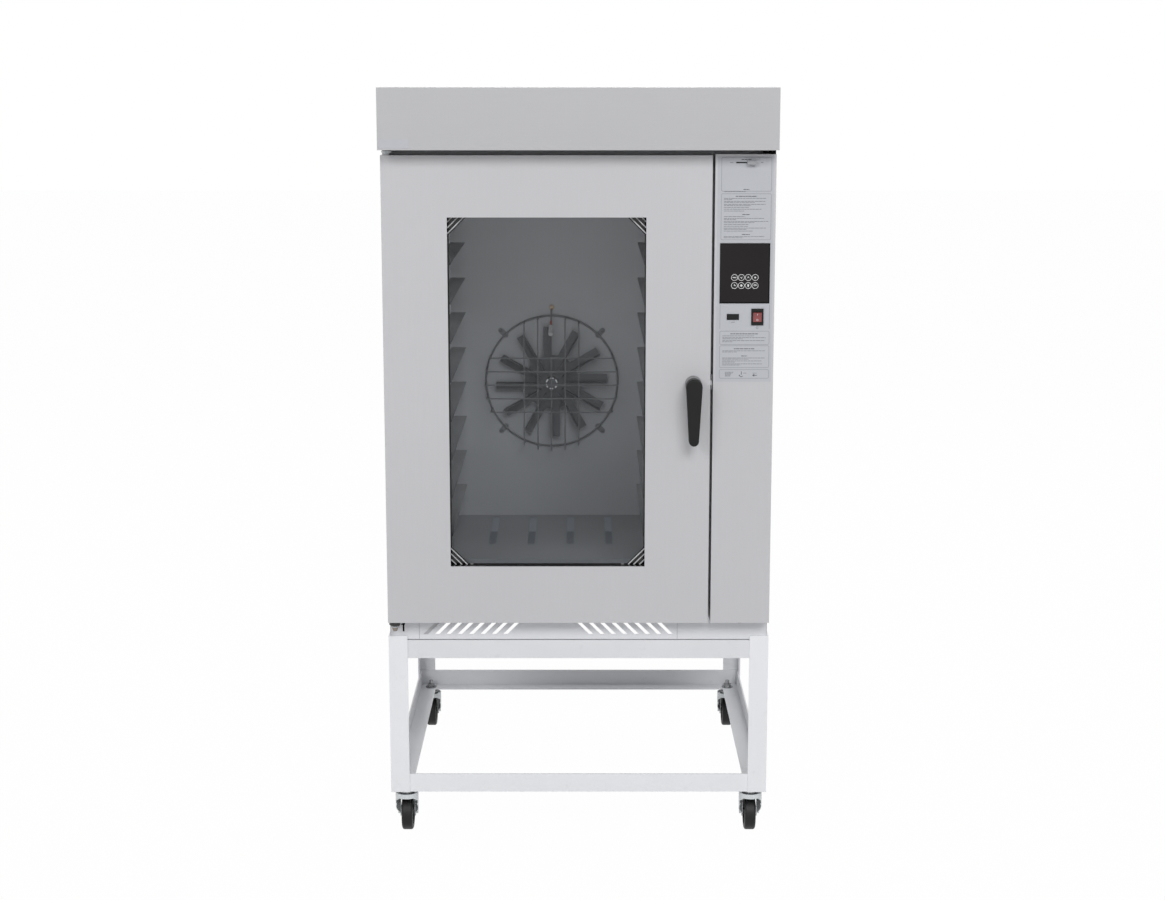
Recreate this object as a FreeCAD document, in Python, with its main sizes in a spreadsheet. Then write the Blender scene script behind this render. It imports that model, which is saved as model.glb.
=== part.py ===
import FreeCAD, Part
import math
import os
from collections import namedtuple
from types import SimpleNamespace

import Sketcher

# Rack convection oven on a castered stand, in millimetres.
# X runs to the right, Y to the back and Z up; the floor is Z = 0.

doc = FreeCAD.newDocument("ConvectionOven")

SIZES = {
    # angle-iron stand
    "angle_width": 50,
    "angle_thick": 4,
    "leg_length": 434.5,
    "leg_lip": 12,
    "stand_fit": 0.5,
    "weep_radius": 3,
    "weep_inset": 7,
    "weep_edge": 8.5,
    # casters
    "caster_height": 129,
    "stem_inset": 39,
    "stem_radius": 6,
    "stem_rise": 22,
    "stem_fit": 0.35,
    "nut_radius": 11,
    "nut_height": 10,
    "washer_radius": 17,
    "washer_thick": 2,
    "race_radius": 22,
    "race_collar": 15,
    "race_depth": 9,
    "swivel_gap": 0.4,
    "wheel_radius": 50,
    "wheel_width": 30,
    "wheel_trail": 33,
    "crown_gap": 12,
    "tread_round": 5,
    "tyre_depth": 14,
    "hub_width": 34,
    "hub_boss": 10,
    "hub_web": 8,
    "rim_depth": 4,
    "rim_width": 26,
    "axle_radius": 4,
    "axle_fit": 0.08,
    "axle_head": 7,
    "axle_head_thick": 6.5,
    "axle_head_sink": 0.5,
    "fork_width": 62,
    "fork_foot": 42,
    "fork_gauge": 2.5,
    "fork_draw": 0.3,
    "fork_drop": 12,
    "fork_knee": 34,
    "fork_rim": 3.5,
    "fork_skirt": 6.5,
    "fork_arch": 58,
    "fork_arch_round": 10,
    "fork_top_front": 10,
    "fork_top_rear": 24,
    # sheet-metal body
    "front_face": -513,
    "body_width": 1000,
    "body_depth": 984,
    "sheet_gauge": 1.5,
    "panel_flange": 30,
    "base_rise": 53,
    "base_setback": 30,
    "plinth_height": 63,
    "plinth_gap": 2.4,
    "plinth_recess": 2,
    "plinth_flange": 25,
    "plinth_side": 2,
    "vent_margin": 77.5,
    "vent_seam": 1,
    "slot_pitch": 30.2,
    "slot_width": 12,
    "slot_height": 35,
    "slot_low": 16,
    "slot_margin": 28.5,
    "flue_radius": 46,
    "flue_height": 11,
    "flue_flange": 16,
    "flue_setback": 120,
    "louvre_length": 130,
    "louvre_height": 8,
    "louvre_pitch": 26,
    "louvre_spread": 230,
    "louvre_low": 90,
    # hood
    "hood_gap": 15,
    "hood_height": 154,
    "hood_reach": 62,
    "hood_side": 1,
    "hood_lip": 25,
    "hood_overlap": 20,
    "badge_width": 75,
    "badge_height": 23,
    "badge_thick": 0.8,
    "badge_inset": 4,
    # control column
    "column_width": 154,
    "column_rise": 3,
    "overlay_thick": 0.5,
    "overlay_edge": 6,
    "overlay_height": 573,
    "display_width": 127,
    "display_height": 153,
    "display_thick": 2,
    "display_drop": 224,
    "display_inset": 13,
    "display_lap": 10,
    "trim_fit": 0.5,
    "damper_drop": 21,
    "damper_slot": 52,
    "damper_slot_height": 3.6,
    "damper_inset": 50,
    "damper_stem": 10,
    "damper_stem_thick": 2.6,
    "knob_width": 25,
    "knob_height": 9,
    "knob_depth": 14,
    "knob_gap": 0.5,
    "gate_length": 90,
    "gate_rise": 10,
    "gate_drop": 15,
    "gate_gap": 0.4,
    "switch_drop": 412,
    "switch_inset": 43,
    "bezel_width": 31,
    "bezel_height": 42,
    "bezel_thick": 4,
    "switch_wall": 2.5,
    "switch_depth": 22,
    "rocker_width": 22,
    "rocker_height": 24,
    "rocker_play": 0.5,
    "rocker_swing": 1.6,
    "rocker_dip": 3,
    "rocker_rise": 2.1,
    "rocker_back": 4,
    "pivot_radius": 2,
    "pivot_reach": 1.2,
    "pivot_fit": 0.08,
    "port_inset": 48.5,
    "port_width": 31,
    "port_height": 15,
    "port_thick": 2,
    "port_lap": 3,
    "port_tail": 4.5,
    "grommet_radius": 13,
    "grommet_foot": 9.75,
    "grommet_neck": 9,
    "grommet_drop": 6,
    # door
    "door_height": 1216,
    "door_thick": 55,
    "door_gap": 7,
    "seal_gap": 5,
    "seal_clear": 0.4,
    "seal_width": 14,
    "seal_margin": 4,
    "window_width": 506,
    "window_height": 908,
    "window_sill": 152,
    "window_recess": 26,
    "inner_sill": 8,
    "reveal_thick": 2,
    "glass_thick": 4,
    "glass_lap": 14,
    "spacer_lap": 7,
    # door hinges
    "hinge_inset": 16,
    "pin_radius": 6,
    "pin_fit": 0.35,
    "pin_reach": 14,
    "pin_gap": 2,
    "arm_radius": 15.5,
    "arm_thick": 9,
    "cup_radius": 15.5,
    "cup_foot": 10,
    "cup_height": 6,
    "cone_top": 9.7,
    "cone_tip": 5.4,
    "cone_height": 12,
    "gusset_lap": 2.2,
    "gusset_thick": 4.7,
    "gusset_height": 20,
    "notch_gap": 5,
    "notch_depth": 22,
    "hinge_setback": 20,
    "hinge_plate": 6,
    "hinge_plate_width": 112,
    "hinge_plate_low": 8,
    "top_plate": 4,
    "top_gap": 6,
    "collar_radius": 9.6,
    # door handle and latch
    "handle_inset": 44,
    "handle_height": 634,
    "boss_radius": 21.5,
    "boss_length": 40,
    "lever_gap": 1,
    "lever_thick": 29,
    "lever_radius": 20.7,
    "lever_tip": 12.8,
    "lever_reach": 139,
    "lever_round": 4,
    "spindle_radius": 8,
    "spindle_fit": 0.35,
    "spindle_tail": 38,
    "tongue_reach": 49,
    "tongue_height": 12,
    "tongue_thick": 8,
    "tongue_setback": 18,
    "tongue_slot_up": 30,
    "tongue_slot_down": 9,
    "keeper_height": 40,
    "keeper_thick": 3.5,
    "keeper_depth": 27,
    # oven cavity
    "cavity_width": 600,
    "cavity_depth": 775,
    "cavity_head": 26,
    "liner_rise": 75,
    "wool_thick": 50,
    "floor_rise": 163,
    "floor_ramp": 10,
    "floor_ramp_length": 165,
    "floor_gap": 2,
    "floor_slot_pitch": 111,
    "floor_slot_width": 20,
    "floor_slot_length": 330,
    "floor_slot_margin": 16,
    # tray guides
    "guide_first": 279,
    "guide_pitch": 102.5,
    "guide_length": 700,
    "guide_setback": 20,
    "guide_flange": 43,
    "guide_drop": 25,
    "guide_gauge": 1.5,
    "post_width": 30,
    "post_thick": 6,
    "post_inset": 80,
    # burner and gas feed
    "burner_radius": 20,
    "burner_wall": 1.5,
    "burner_rise": 45,
    "burner_spread": 130,
    "burner_setback": 60,
    "burner_length": 600,
    "burner_slot": 3,
    "cradle_thick": 3,
    "cradle_inset": 90,
    "pipe_radius": 8,
    "pipe_setback": 75,
    "riser_radius": 6,
    "riser_fit": 1,
    "inlet_inset": 80,
    "inlet_reach": 50.5,
    "union_radius": 14,
    "union_length": 18,
    "inlet_spigot": 14,
    "gland_rise": 120,
    "gland_flange": 14.3,
    "gland_flange_thick": 7,
    "gland_radius": 11,
    "gland_length": 22,
    "gland_bore": 5,
    # circulation fan
    "fan_rise": 581,
    "fan_gap": 23,
    "star_radius": 80,
    "blade_radius": 164,
    "blade_width": 24,
    "blade_fold": 33,
    "blade_gauge": 2,
    "hub_radius": 18,
    "hub_length": 30,
    "shaft_radius": 7,
    "shaft_fit": 0.06,
    "shaft_seat": 40,
    "shaft_hole": 14,
    "motor_plate": 170,
    "motor_plate_thick": 4,
    "motor_radius": 65,
    "motor_length": 118,
    "bell_radius": 48,
    "bell_length": 22,
    "standoff_radius": 5,
    "standoff_spread": 70,
    "guard_radius": 195,
    "guard_depth": 88,
    "guard_pitch": 40,
    "ring_wire": 3,
    "grid_wire": 2,
    "tab_thick": 2,
    "tab_radius": 8,
    "tab_inner": 193,
    "tab_outer": 213,
    # temperature probe
    "probe_rise": 220,
    "probe_nut": 8,
    "probe_nut_length": 10,
    "probe_rod": 2.5,
    "probe_rod_length": 72,
    "probe_collar": 3.5,
    "probe_collar_length": 26,
    "probe_tip": 6.5,
    "probe_tip_length": 38,
}

GUIDE_LEVELS = 10
BLADE_COUNT = 12
GUARD_WIRES = 5
VENT_SLOTS = 8
LOUVRE_ROWS = 9
BURNER_SLOTS = 9
HEX_HALF = math.sqrt(3) / 2
ROCKER_TILT = 8
PROBE_SLOPE = FreeCAD.Vector(-2, -122, -68)

sheet = doc.addObject("Spreadsheet::Sheet", "Dims")
for row, (alias, value) in enumerate(SIZES.items(), start=1):
    sheet.set(f"A{row}", alias)
    sheet.set(f"B{row}", str(value))
    sheet.setAlias(f"B{row}", alias)
doc.recompute()


class Dim:
    """A length that carries both its expression text and its present value."""

    def __init__(self, text, value):
        self.text = text
        self.value = value

    def join(self, sign, other, value):
        return Dim(f"({self.text} {sign} {other.text})", value)

    def __add__(self, other):
        other = dim(other)
        return self.join("+", other, self.value + other.value)

    def __radd__(self, other):
        return dim(other) + self

    def __sub__(self, other):
        other = dim(other)
        return self.join("-", other, self.value - other.value)

    def __rsub__(self, other):
        return dim(other) - self

    def __mul__(self, other):
        other = dim(other)
        return self.join("*", other, self.value * other.value)

    def __rmul__(self, other):
        return dim(other) * self

    def __truediv__(self, other):
        other = dim(other)
        return self.join("/", other, self.value / other.value)

    def __neg__(self):
        return Dim(f"(-{self.text})", -self.value)


def dim(value):
    if isinstance(value, Dim):
        return value
    return Dim(f"({float(value)})", float(value))


def root(length):
    return Dim(f"sqrt({length.text})", math.sqrt(length.value))


s = SimpleNamespace(**{alias: Dim(f"Dims.{alias}", sheet.get(alias)) for alias in SIZES})


def drive(item, path, length):
    item.setExpression(path, dim(length).text)


# sketches and features

Circle = namedtuple("Circle", "x y radius")


def rect(left, low, right, high):
    return [(left, low), (right, low), (right, high), (left, high)]


def constrain(sketch, kind, geometry, point, length):
    length = dim(length)
    index = sketch.addConstraint(
        Sketcher.Constraint(kind, -1, 1, geometry, point, length.value))
    drive(sketch, f"Constraints[{index}]", length)


def draw_circle(sketch, loop):
    centre = FreeCAD.Vector(dim(loop.x).value, dim(loop.y).value, 0)
    radius = dim(loop.radius)
    index = sketch.addGeometry(
        Part.Circle(centre, FreeCAD.Vector(0, 0, 1), radius.value), False)
    constrain(sketch, "DistanceX", index, 3, loop.x)
    constrain(sketch, "DistanceY", index, 3, loop.y)
    number = sketch.addConstraint(Sketcher.Constraint("Radius", index, radius.value))
    drive(sketch, f"Constraints[{number}]", radius)


def draw_polygon(sketch, corners):
    first = sketch.GeometryCount
    count = len(corners)
    spots = [FreeCAD.Vector(dim(x).value, dim(y).value, 0) for x, y in corners]
    edges = [Part.LineSegment(spots[i], spots[(i + 1) % count]) for i in range(count)]
    sketch.addGeometry(edges, False)
    sketch.addConstraint([
        Sketcher.Constraint("Coincident", first + i, 2, first + (i + 1) % count, 1)
        for i in range(count)])
    for i, (x, y) in enumerate(corners):
        constrain(sketch, "DistanceX", first + i, 1, x)
        constrain(sketch, "DistanceY", first + i, 1, y)


def new_body(name):
    return doc.addObject("PartDesign::Body", name)


def outline(body, plane, level, loops):
    """Sketch on an origin plane of the body, shifted to the given level."""
    sketch = body.newObject("Sketcher::SketchObject", f"{body.Name}_outline")
    origin = [item for item in body.Origin.OriginFeatures if item.Role == f"{plane}_Plane"]
    sketch.AttachmentSupport = [(origin[0], "")]
    sketch.MapMode = "FlatFace"
    level = dim(level)
    drive(sketch, "AttachmentOffset.Base.z", -level if plane == "XZ" else level)
    for loop in loops:
        if isinstance(loop, Circle):
            draw_circle(sketch, loop)
        else:
            draw_polygon(sketch, loop)
    return sketch


def slab(body, plane, level, thick, *loops):
    """Pad that fills level to level + thick along the axis across the plane."""
    near = level + thick if plane == "XZ" else level
    feature = body.newObject("PartDesign::Pad", f"{body.Name}_pad")
    feature.Profile = outline(body, plane, near, loops)
    drive(feature, "Length", thick)
    return feature


def cutout(body, plane, level, thick, *loops):
    """Pocket that clears level to level + thick along the axis across the plane."""
    near = level if plane == "XZ" else level + thick
    feature = body.newObject("PartDesign::Pocket", f"{body.Name}_pocket")
    feature.Profile = outline(body, plane, near, loops)
    drive(feature, "Length", thick)
    return feature


def turned(body, axis, corners):
    """Revolved profile: 'V_Axis' turns about local Z, 'H_Axis' about local X."""
    profile = outline(body, "XZ", dim(0), [corners])
    feature = body.newObject("PartDesign::Revolution", f"{body.Name}_turn")
    feature.Profile = profile
    feature.ReferenceAxis = (profile, [axis])
    feature.Angle = 360
    return feature


def plate(name, plane, level, thick, *loops):
    body = new_body(name)
    slab(body, plane, level, thick, *loops)
    return body


def move(item, x, y, z):
    for axis, length in zip("xyz", (x, y, z)):
        drive(item, f"Placement.Base.{axis}", length)
    return item


# primitives and groups

AIM = {
    "x": FreeCAD.Rotation(FreeCAD.Vector(0, 1, 0), 90),
    "y": FreeCAD.Rotation(FreeCAD.Vector(1, 0, 0), -90),
    "z": FreeCAD.Rotation(),
}


def rod(name, axis, x, y, z, radius, length):
    item = doc.addObject("Part::Cylinder", name)
    item.Placement = FreeCAD.Placement(FreeCAD.Vector(), AIM[axis])
    drive(item, "Radius", radius)
    drive(item, "Height", length)
    return move(item, x, y, z)


def hexagon(name, axis, x, y, z, radius, length):
    item = doc.addObject("Part::Prism", name)
    item.Polygon = 6
    item.Placement = FreeCAD.Placement(FreeCAD.Vector(), AIM[axis])
    drive(item, "Circumradius", radius)
    drive(item, "Height", length)
    return move(item, x, y, z)


def block(name, x, y, z, wide, deep, high):
    item = doc.addObject("Part::Box", name)
    drive(item, "Length", wide)
    drive(item, "Width", deep)
    drive(item, "Height", high)
    return move(item, x, y, z)


def fuse(name, *items):
    item = doc.addObject("Part::MultiFuse", name)
    item.Shapes = list(items)
    return item


def subtract(name, base, tool):
    item = doc.addObject("Part::Cut", name)
    item.Base = base
    item.Tool = tool
    return item


def group(name, *items):
    item = doc.addObject("Part::Compound", name)
    item.Links = list(items)
    return item


def mirrored(name, source, axis, level=0):
    item = doc.addObject("Part::Mirroring", name)
    item.Source = source
    item.Normal = FreeCAD.Vector(axis == "x", axis == "y", 0)
    drive(item, f"Base.{axis}", level)
    return item


nodes = []


def node(item):
    nodes.append(item)
    return item


# datum lines shared by the pieces

gauge = s.sheet_gauge
half = s.body_width / 2
body_front = s.front_face + s.door_thick + s.seal_gap
body_rear = body_front + s.body_depth
rail_top = s.caster_height + s.leg_length - s.leg_lip
column_left = half - s.column_width
door_width = s.body_width - s.column_width - s.door_gap
door_left = -half
door_right = door_left + door_width
door_bottom = rail_top + s.plinth_height
door_top = door_bottom + s.door_height
door_back = s.front_face + s.door_thick
column_top = door_top + s.column_rise
hood_front = s.front_face - s.hood_reach
hood_bottom = door_top + s.hood_gap
hood_top = hood_bottom + s.hood_height
body_top = hood_top - s.hood_lip
cavity_mid = door_left + door_width / 2
cavity_left = cavity_mid - s.cavity_width / 2
cavity_right = cavity_mid + s.cavity_width / 2
cavity_back = body_front + s.cavity_depth
cavity_top = door_top - s.cavity_head
liner_floor = rail_top + s.liner_rise
oven_floor = rail_top + s.floor_rise
inner_front = body_front + gauge
burner_left = cavity_mid - s.burner_spread
burner_right = cavity_mid + s.burner_spread
pipe_y = body_front + s.pipe_setback
hinge_x = door_left + s.hinge_inset
hinge_y = s.front_face + s.door_thick / 2
handle_x = door_right - s.handle_inset
handle_z = door_bottom + s.handle_height
fan_z = rail_top + s.fan_rise

# stand: legs, rails and caster stems

stand_side = half + s.stand_fit
stand_front = body_front - s.stand_fit
stand_rear = body_rear + gauge + s.stand_fit
stand_mid = (stand_front + stand_rear) / 2
leg_x = -stand_side - s.angle_thick
leg_y = stand_front - s.angle_thick
stem_x = stand_side + s.angle_thick - s.stem_inset
stem_front = leg_y + s.stem_inset
stem_rear = stand_rear + s.angle_thick - s.stem_inset


def four_corners(name, source):
    across = mirrored(f"{name}_right", source, "x")
    rear = mirrored(f"{name}_rear", source, "y", stand_mid)
    far = mirrored(f"{name}_far", across, "y", stand_mid)
    return node(group(name, source, across, rear, far))


leg = plate("leg_front_left", "XY", s.caster_height, s.leg_length, [
    (leg_x, leg_y),
    (leg_x + s.angle_width, leg_y),
    (leg_x + s.angle_width, leg_y + s.angle_thick),
    (leg_x + s.angle_thick, leg_y + s.angle_thick),
    (leg_x + s.angle_thick, leg_y + s.angle_width),
    (leg_x, leg_y + s.angle_width)])
four_corners("stand_legs", leg)


def stand_rails(name, low, flange_low, stem_holes, weep_holes):
    """Two cross rails and two side rails; the side flanges run through the corners."""
    inner = stand_side - s.angle_width
    front = new_body(f"{name}_front")
    slab(front, "XZ", stand_front, s.angle_thick,
         rect(-stand_side, low, stand_side, low + s.angle_width))
    slab(front, "XY", flange_low, s.angle_thick,
         rect(-inner, stand_front + s.angle_thick, inner, stand_front + s.angle_width), *weep_holes)
    side = new_body(f"{name}_left")
    rail_front = stand_front + s.angle_thick
    rail_rear = stand_rear - s.angle_thick
    slab(side, "YZ", -stand_side, s.angle_thick,
         rect(rail_front, low, rail_rear, low + s.angle_width))
    slab(side, "XY", flange_low, s.angle_thick,
         rect(-stand_side + s.angle_thick, rail_front, -inner, rail_rear), *stem_holes)
    rear = mirrored(f"{name}_rear", front, "y", stand_mid)
    right = mirrored(f"{name}_right", side, "x")
    return node(group(name, front, rear, side, right))


stem_hole = s.stem_radius + s.stem_fit
stand_rails("stand_upper_rails", rail_top - s.angle_width, rail_top - s.angle_thick, [], [])
weep_x = stand_side - s.angle_width - s.weep_inset
weep_y = stand_front + s.angle_width - s.weep_edge
stand_rails("stand_lower_rails", s.caster_height, s.caster_height,
            [Circle(-stem_x, stem_front, stem_hole), Circle(-stem_x, stem_rear, stem_hole)],
            [Circle(-weep_x, weep_y, s.weep_radius), Circle(weep_x, weep_y, s.weep_radius)])

crown_low = s.wheel_radius * 2 + s.crown_gap
crown_top = crown_low + s.fork_gauge
race_low = crown_top + s.swivel_gap
flange_top = s.caster_height + s.angle_thick
washer_top = flange_top + s.washer_thick

stem = new_body("caster_stem")
turned(stem, "V_Axis", [
    (0, crown_low),
    (s.stem_radius, crown_low),
    (s.stem_radius, race_low),
    (s.race_radius, race_low),
    (s.race_radius, race_low + s.race_depth),
    (s.race_collar, s.caster_height),
    (s.stem_radius, s.caster_height),
    (s.stem_radius, flange_top),
    (s.washer_radius, flange_top),
    (s.washer_radius, washer_top),
    (s.stem_radius, washer_top),
    (s.stem_radius, flange_top + s.stem_rise),
    (0, flange_top + s.stem_rise)])
nut = s.nut_radius
slab(stem, "XY", washer_top, s.nut_height, [
    (nut, 0), (nut / 2, nut * HEX_HALF), (-nut / 2, nut * HEX_HALF),
    (-nut, 0), (-nut / 2, -nut * HEX_HALF), (nut / 2, -nut * HEX_HALF)])
move(stem, -stem_x, stem_front, 0)
four_corners("caster_stems", stem)

# casters: stamped fork with its axle bolt, tyre and hub


def caster(tag, x, y):
    wide = s.fork_width / 2
    inner = wide - s.fork_gauge
    foot = s.fork_foot / 2
    axle_z = s.wheel_radius
    axle_y = s.wheel_trail
    low = axle_z - s.fork_drop
    knee = axle_z + s.fork_knee
    skirt = crown_low - s.fork_skirt
    rim_top = crown_top + s.fork_rim
    slot = foot - s.fork_gauge
    wall_inner = inner + s.fork_draw
    wall_top = knee + s.fork_gauge
    flat_front = root(wall_inner * wall_inner - slot * slot) - s.fork_gauge / 2
    flat_rear = axle_y + s.fork_drop
    wrap = plate(f"fork_wrap_{tag}", "XY", low, wall_top - low,
                 Circle(0, 0, wide - s.fork_draw), Circle(0, 0, wall_inner))
    room = block(f"fork_room_{tag}", -slot, -wide, low, slot * 2, s.fork_width, wall_top - low)
    flats = plate(f"fork_flats_{tag}", "XY", low, wall_top - low,
                  rect(-foot, flat_front, -slot, flat_rear), rect(slot, flat_front, foot, flat_rear))
    sides = fuse(f"fork_sides_{tag}", subtract(f"fork_walls_{tag}", wrap, room), flats)
    rake = plate(f"fork_rake_{tag}", "YZ", -wide, s.fork_width, [
        (-s.fork_top_front, wall_top), (-s.fork_top_front, knee), (axle_y - s.fork_drop, axle_z),
        (axle_y - s.fork_drop / 2, low), (axle_y + s.fork_drop / 2, low), (flat_rear, axle_z),
        (s.fork_top_rear, knee), (s.fork_top_rear, wall_top)])
    stamped = doc.addObject("Part::MultiCommon", f"fork_stamping_{tag}")
    stamped.Shapes = [sides, rake]
    bell = new_body(f"fork_bell_{tag}")
    turned(bell, "V_Axis", [
        (0, crown_low), (inner, crown_low), (inner, knee), (wide, knee), (wide, rim_top),
        (inner, rim_top), (inner, crown_top), (0, crown_top)])
    span = s.fork_arch / 2
    shoulder = span - s.fork_arch_round
    cutout(bell, "XZ", -s.fork_width, s.fork_width, [
        (-span, low), (span, low), (span, skirt - s.fork_arch_round), (shoulder, skirt),
        (-shoulder, skirt), (-span, skirt - s.fork_arch_round)])
    cutout(bell, "XZ", 0, s.fork_width, rect(s.fork_draw - slot, low, slot - s.fork_draw, skirt))
    bore = rod(f"fork_bore_{tag}", "z", 0, 0, crown_low - s.fork_gauge, stem_hole, s.fork_gauge * 3)
    crown = subtract(f"fork_crown_{tag}", bell, bore)
    reach = foot + s.axle_head_sink
    bolt = rod(f"axle_bolt_{tag}", "x", -reach, axle_y, axle_z, s.axle_radius, reach * 2)
    head_start = foot - s.axle_head_sink
    heads = [
        hexagon(f"axle_{end}_{tag}", "x", start, axle_y, axle_z, s.axle_head, s.axle_head_thick)
        for end, start in (("head", -head_start - s.axle_head_thick), ("nut", head_start))]
    fork = fuse(f"caster_fork_{tag}", crown, fuse(f"fork_pinned_{tag}", stamped, bolt, *heads))
    move(fork, x, y, 0)
    node(fork)

    edge = s.wheel_width / 2
    bed = s.wheel_radius - s.tyre_depth
    tyre = new_body(f"caster_tyre_{tag}")
    turned(tyre, "H_Axis", [
        (-edge, bed), (-edge, s.wheel_radius - s.tread_round),
        (-edge + s.tread_round / 3, s.wheel_radius - s.tread_round / 3),
        (-edge + s.tread_round, s.wheel_radius), (edge - s.tread_round, s.wheel_radius),
        (edge - s.tread_round / 3, s.wheel_radius - s.tread_round / 3),
        (edge, s.wheel_radius - s.tread_round), (edge, bed)])
    move(tyre, x, y + axle_y, s.wheel_radius)
    node(tyre)

    boss = s.hub_width / 2
    web = s.hub_web / 2
    rim = s.rim_width / 2
    bore_radius = s.axle_radius + s.axle_fit
    hub = new_body(f"caster_hub_{tag}")
    turned(hub, "H_Axis", [
        (-boss, bore_radius), (-boss, s.hub_boss), (-web, s.hub_boss), (-web, bed - s.rim_depth),
        (-rim, bed - s.rim_depth), (-rim, bed), (rim, bed), (rim, bed - s.rim_depth),
        (web, bed - s.rim_depth), (web, s.hub_boss), (boss, s.hub_boss), (boss, bore_radius)])
    move(hub, x, y + axle_y, s.wheel_radius)
    node(hub)


caster("fl", -stem_x, stem_front)
caster("fr", stem_x, stem_front)
caster("rl", -stem_x, stem_rear)
caster("rr", stem_x, stem_rear)

# outer body panels

panel_inner = half - gauge
side_left = new_body("side_panel_left")
slab(side_left, "XY", rail_top, body_top - rail_top, [
    (-half, body_front), (-panel_inner, body_front), (-panel_inner, body_rear - gauge),
    (-half + s.panel_flange, body_rear - gauge), (-half + s.panel_flange, body_rear),
    (-half, body_rear)])
slab(side_left, "XY", rail_top, gauge,
     rect(-panel_inner, body_front + s.plinth_flange + gauge,
          -half + s.panel_flange, body_rear - gauge))
node(side_left)
node(mirrored("side_panel_right", side_left, "x"))

flue_y = body_rear - s.flue_setback
node(plate("top_panel", "XY", body_top, gauge,
           rect(-half, body_front, half, body_rear + gauge),
           Circle(cavity_mid, flue_y, s.flue_radius)))
flue = new_body("flue_collar")
roof = body_top + gauge
slab(flue, "XY", roof, gauge, Circle(0, 0, s.flue_radius + s.flue_flange),
     Circle(0, 0, s.flue_radius))
slab(flue, "XY", roof + gauge, s.flue_height, Circle(0, 0, s.flue_radius + gauge),
     Circle(0, 0, s.flue_radius))
node(move(flue, cavity_mid, flue_y, 0))

inlet_x = half - s.inlet_inset
base_low = rail_top + s.base_rise
pipe_z = base_low - s.pipe_radius
gland_z = pipe_z + s.gland_rise
rear_loops = [
    rect(-half + s.stand_fit, rail_top, half - s.stand_fit, body_top),
    Circle(inlet_x, pipe_z, s.pipe_radius + s.riser_fit),
    Circle(inlet_x, gland_z, s.gland_bore)]
for middle in (cavity_mid - s.louvre_spread, cavity_mid + s.louvre_spread):
    for row in range(LOUVRE_ROWS):
        low = fan_z - s.louvre_low + s.louvre_pitch * row
        rear_loops.append(rect(middle - s.louvre_length / 2, low,
                               middle + s.louvre_length / 2, low + s.louvre_height))
node(plate("rear_panel", "XZ", body_rear, gauge, *rear_loops))

riser_hole = s.riser_radius + s.riser_fit
risers = [Circle(burner_left, pipe_y, riser_hole), Circle(burner_right, pipe_y, riser_hole)]
base_front = body_front + s.base_setback
air_front = pipe_y + s.pipe_setback
node(plate("base_pan", "XY", base_low, gauge,
           rect(-panel_inner, base_front, panel_inner, body_rear - gauge), *risers,
           rect(burner_left - s.burner_radius, air_front,
                burner_left + s.burner_radius, air_front + s.burner_length / 2),
           rect(burner_right - s.burner_radius, air_front,
                burner_right + s.burner_radius, air_front + s.burner_length / 2)))

frame_strips = {
    "front_stile_left": rect(-panel_inner, door_bottom, cavity_left, body_top),
    "front_stile_right": rect(cavity_right, door_bottom, panel_inner, body_top),
    "front_header": rect(cavity_left, cavity_top, cavity_right, body_top),
    "front_sill": rect(cavity_left, door_bottom, cavity_right, oven_floor - s.floor_gap),
}
node(group("front_frame", *[
    plate(name, "XZ", body_front, gauge, strip) for name, strip in frame_strips.items()]))

# plinth with its lift-out vent panel

vent_left = door_left + s.vent_margin
vent_right = door_right - s.vent_margin
gusset_left = hinge_x + s.arm_radius - s.gusset_lap
gusset_right = gusset_left + s.gusset_thick


def plinth_piece(name, left, right, *slots):
    piece = new_body(name)
    low = rail_top + s.plinth_gap
    slab(piece, "XZ", body_front, gauge, rect(left, low, right, door_bottom), *slots)
    slab(piece, "XY", low, gauge,
         rect(left, inner_front, right, body_front + s.plinth_flange))
    return piece


plinth_left = plinth_piece("plinth_left", -half + s.plinth_recess, vent_left - s.vent_seam)
cutout(plinth_left, "XZ", body_front, gauge,
       rect(gusset_left - s.stand_fit, door_bottom - s.notch_depth,
            gusset_right + s.notch_gap, door_bottom))
plinth_right = plinth_piece("plinth_right", vent_right + s.vent_seam, half - s.plinth_side)
node(group("plinth_ends", plinth_left, plinth_right))

slot_low = rail_top + s.slot_low
slot_high = slot_low + s.slot_height
vent_slots = []
for side, edge in ((1, vent_left), (-1, vent_right)):
    for step in range(VENT_SLOTS):
        foot_mid = edge + side * (s.slot_margin - s.slot_width + s.slot_pitch * step)
        foot_in = foot_mid - side * s.slot_width / 2
        foot_out = foot_mid + side * s.slot_width / 2
        lean = side * s.slot_height
        vent_slots.append([(foot_in, slot_low), (foot_out, slot_low),
                           (foot_out + lean, slot_high), (foot_in + lean, slot_high)])
node(plinth_piece("plinth_vent", vent_left, vent_right, *vent_slots))

# hood over the door, folded from one sheet with welded end cheeks

hood_half = half + s.hood_side
hood_rear = body_front + s.hood_overlap
hood = new_body("hood")
slab(hood, "YZ", -hood_half, hood_half * 2, [
    (body_front, hood_bottom + s.hood_lip), (body_front, hood_bottom), (hood_front, hood_bottom),
    (hood_front, hood_top), (hood_rear, hood_top), (hood_rear, roof), (hood_rear - gauge, roof),
    (hood_rear - gauge, hood_top - gauge), (hood_front + gauge, hood_top - gauge),
    (hood_front + gauge, hood_bottom + gauge), (body_front - gauge, hood_bottom + gauge),
    (body_front - gauge, hood_bottom + s.hood_lip)])
hood_cheek = [
    (hood_front, hood_bottom), (body_front, hood_bottom), (body_front, roof), (hood_rear, roof),
    (hood_rear, hood_top), (hood_front, hood_top)]
slab(hood, "YZ", -hood_half, gauge, hood_cheek)
slab(hood, "YZ", hood_half - gauge, gauge, hood_cheek)
node(hood)
badge_left = -hood_half + s.badge_inset
badge_low = hood_bottom + s.badge_inset
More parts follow.
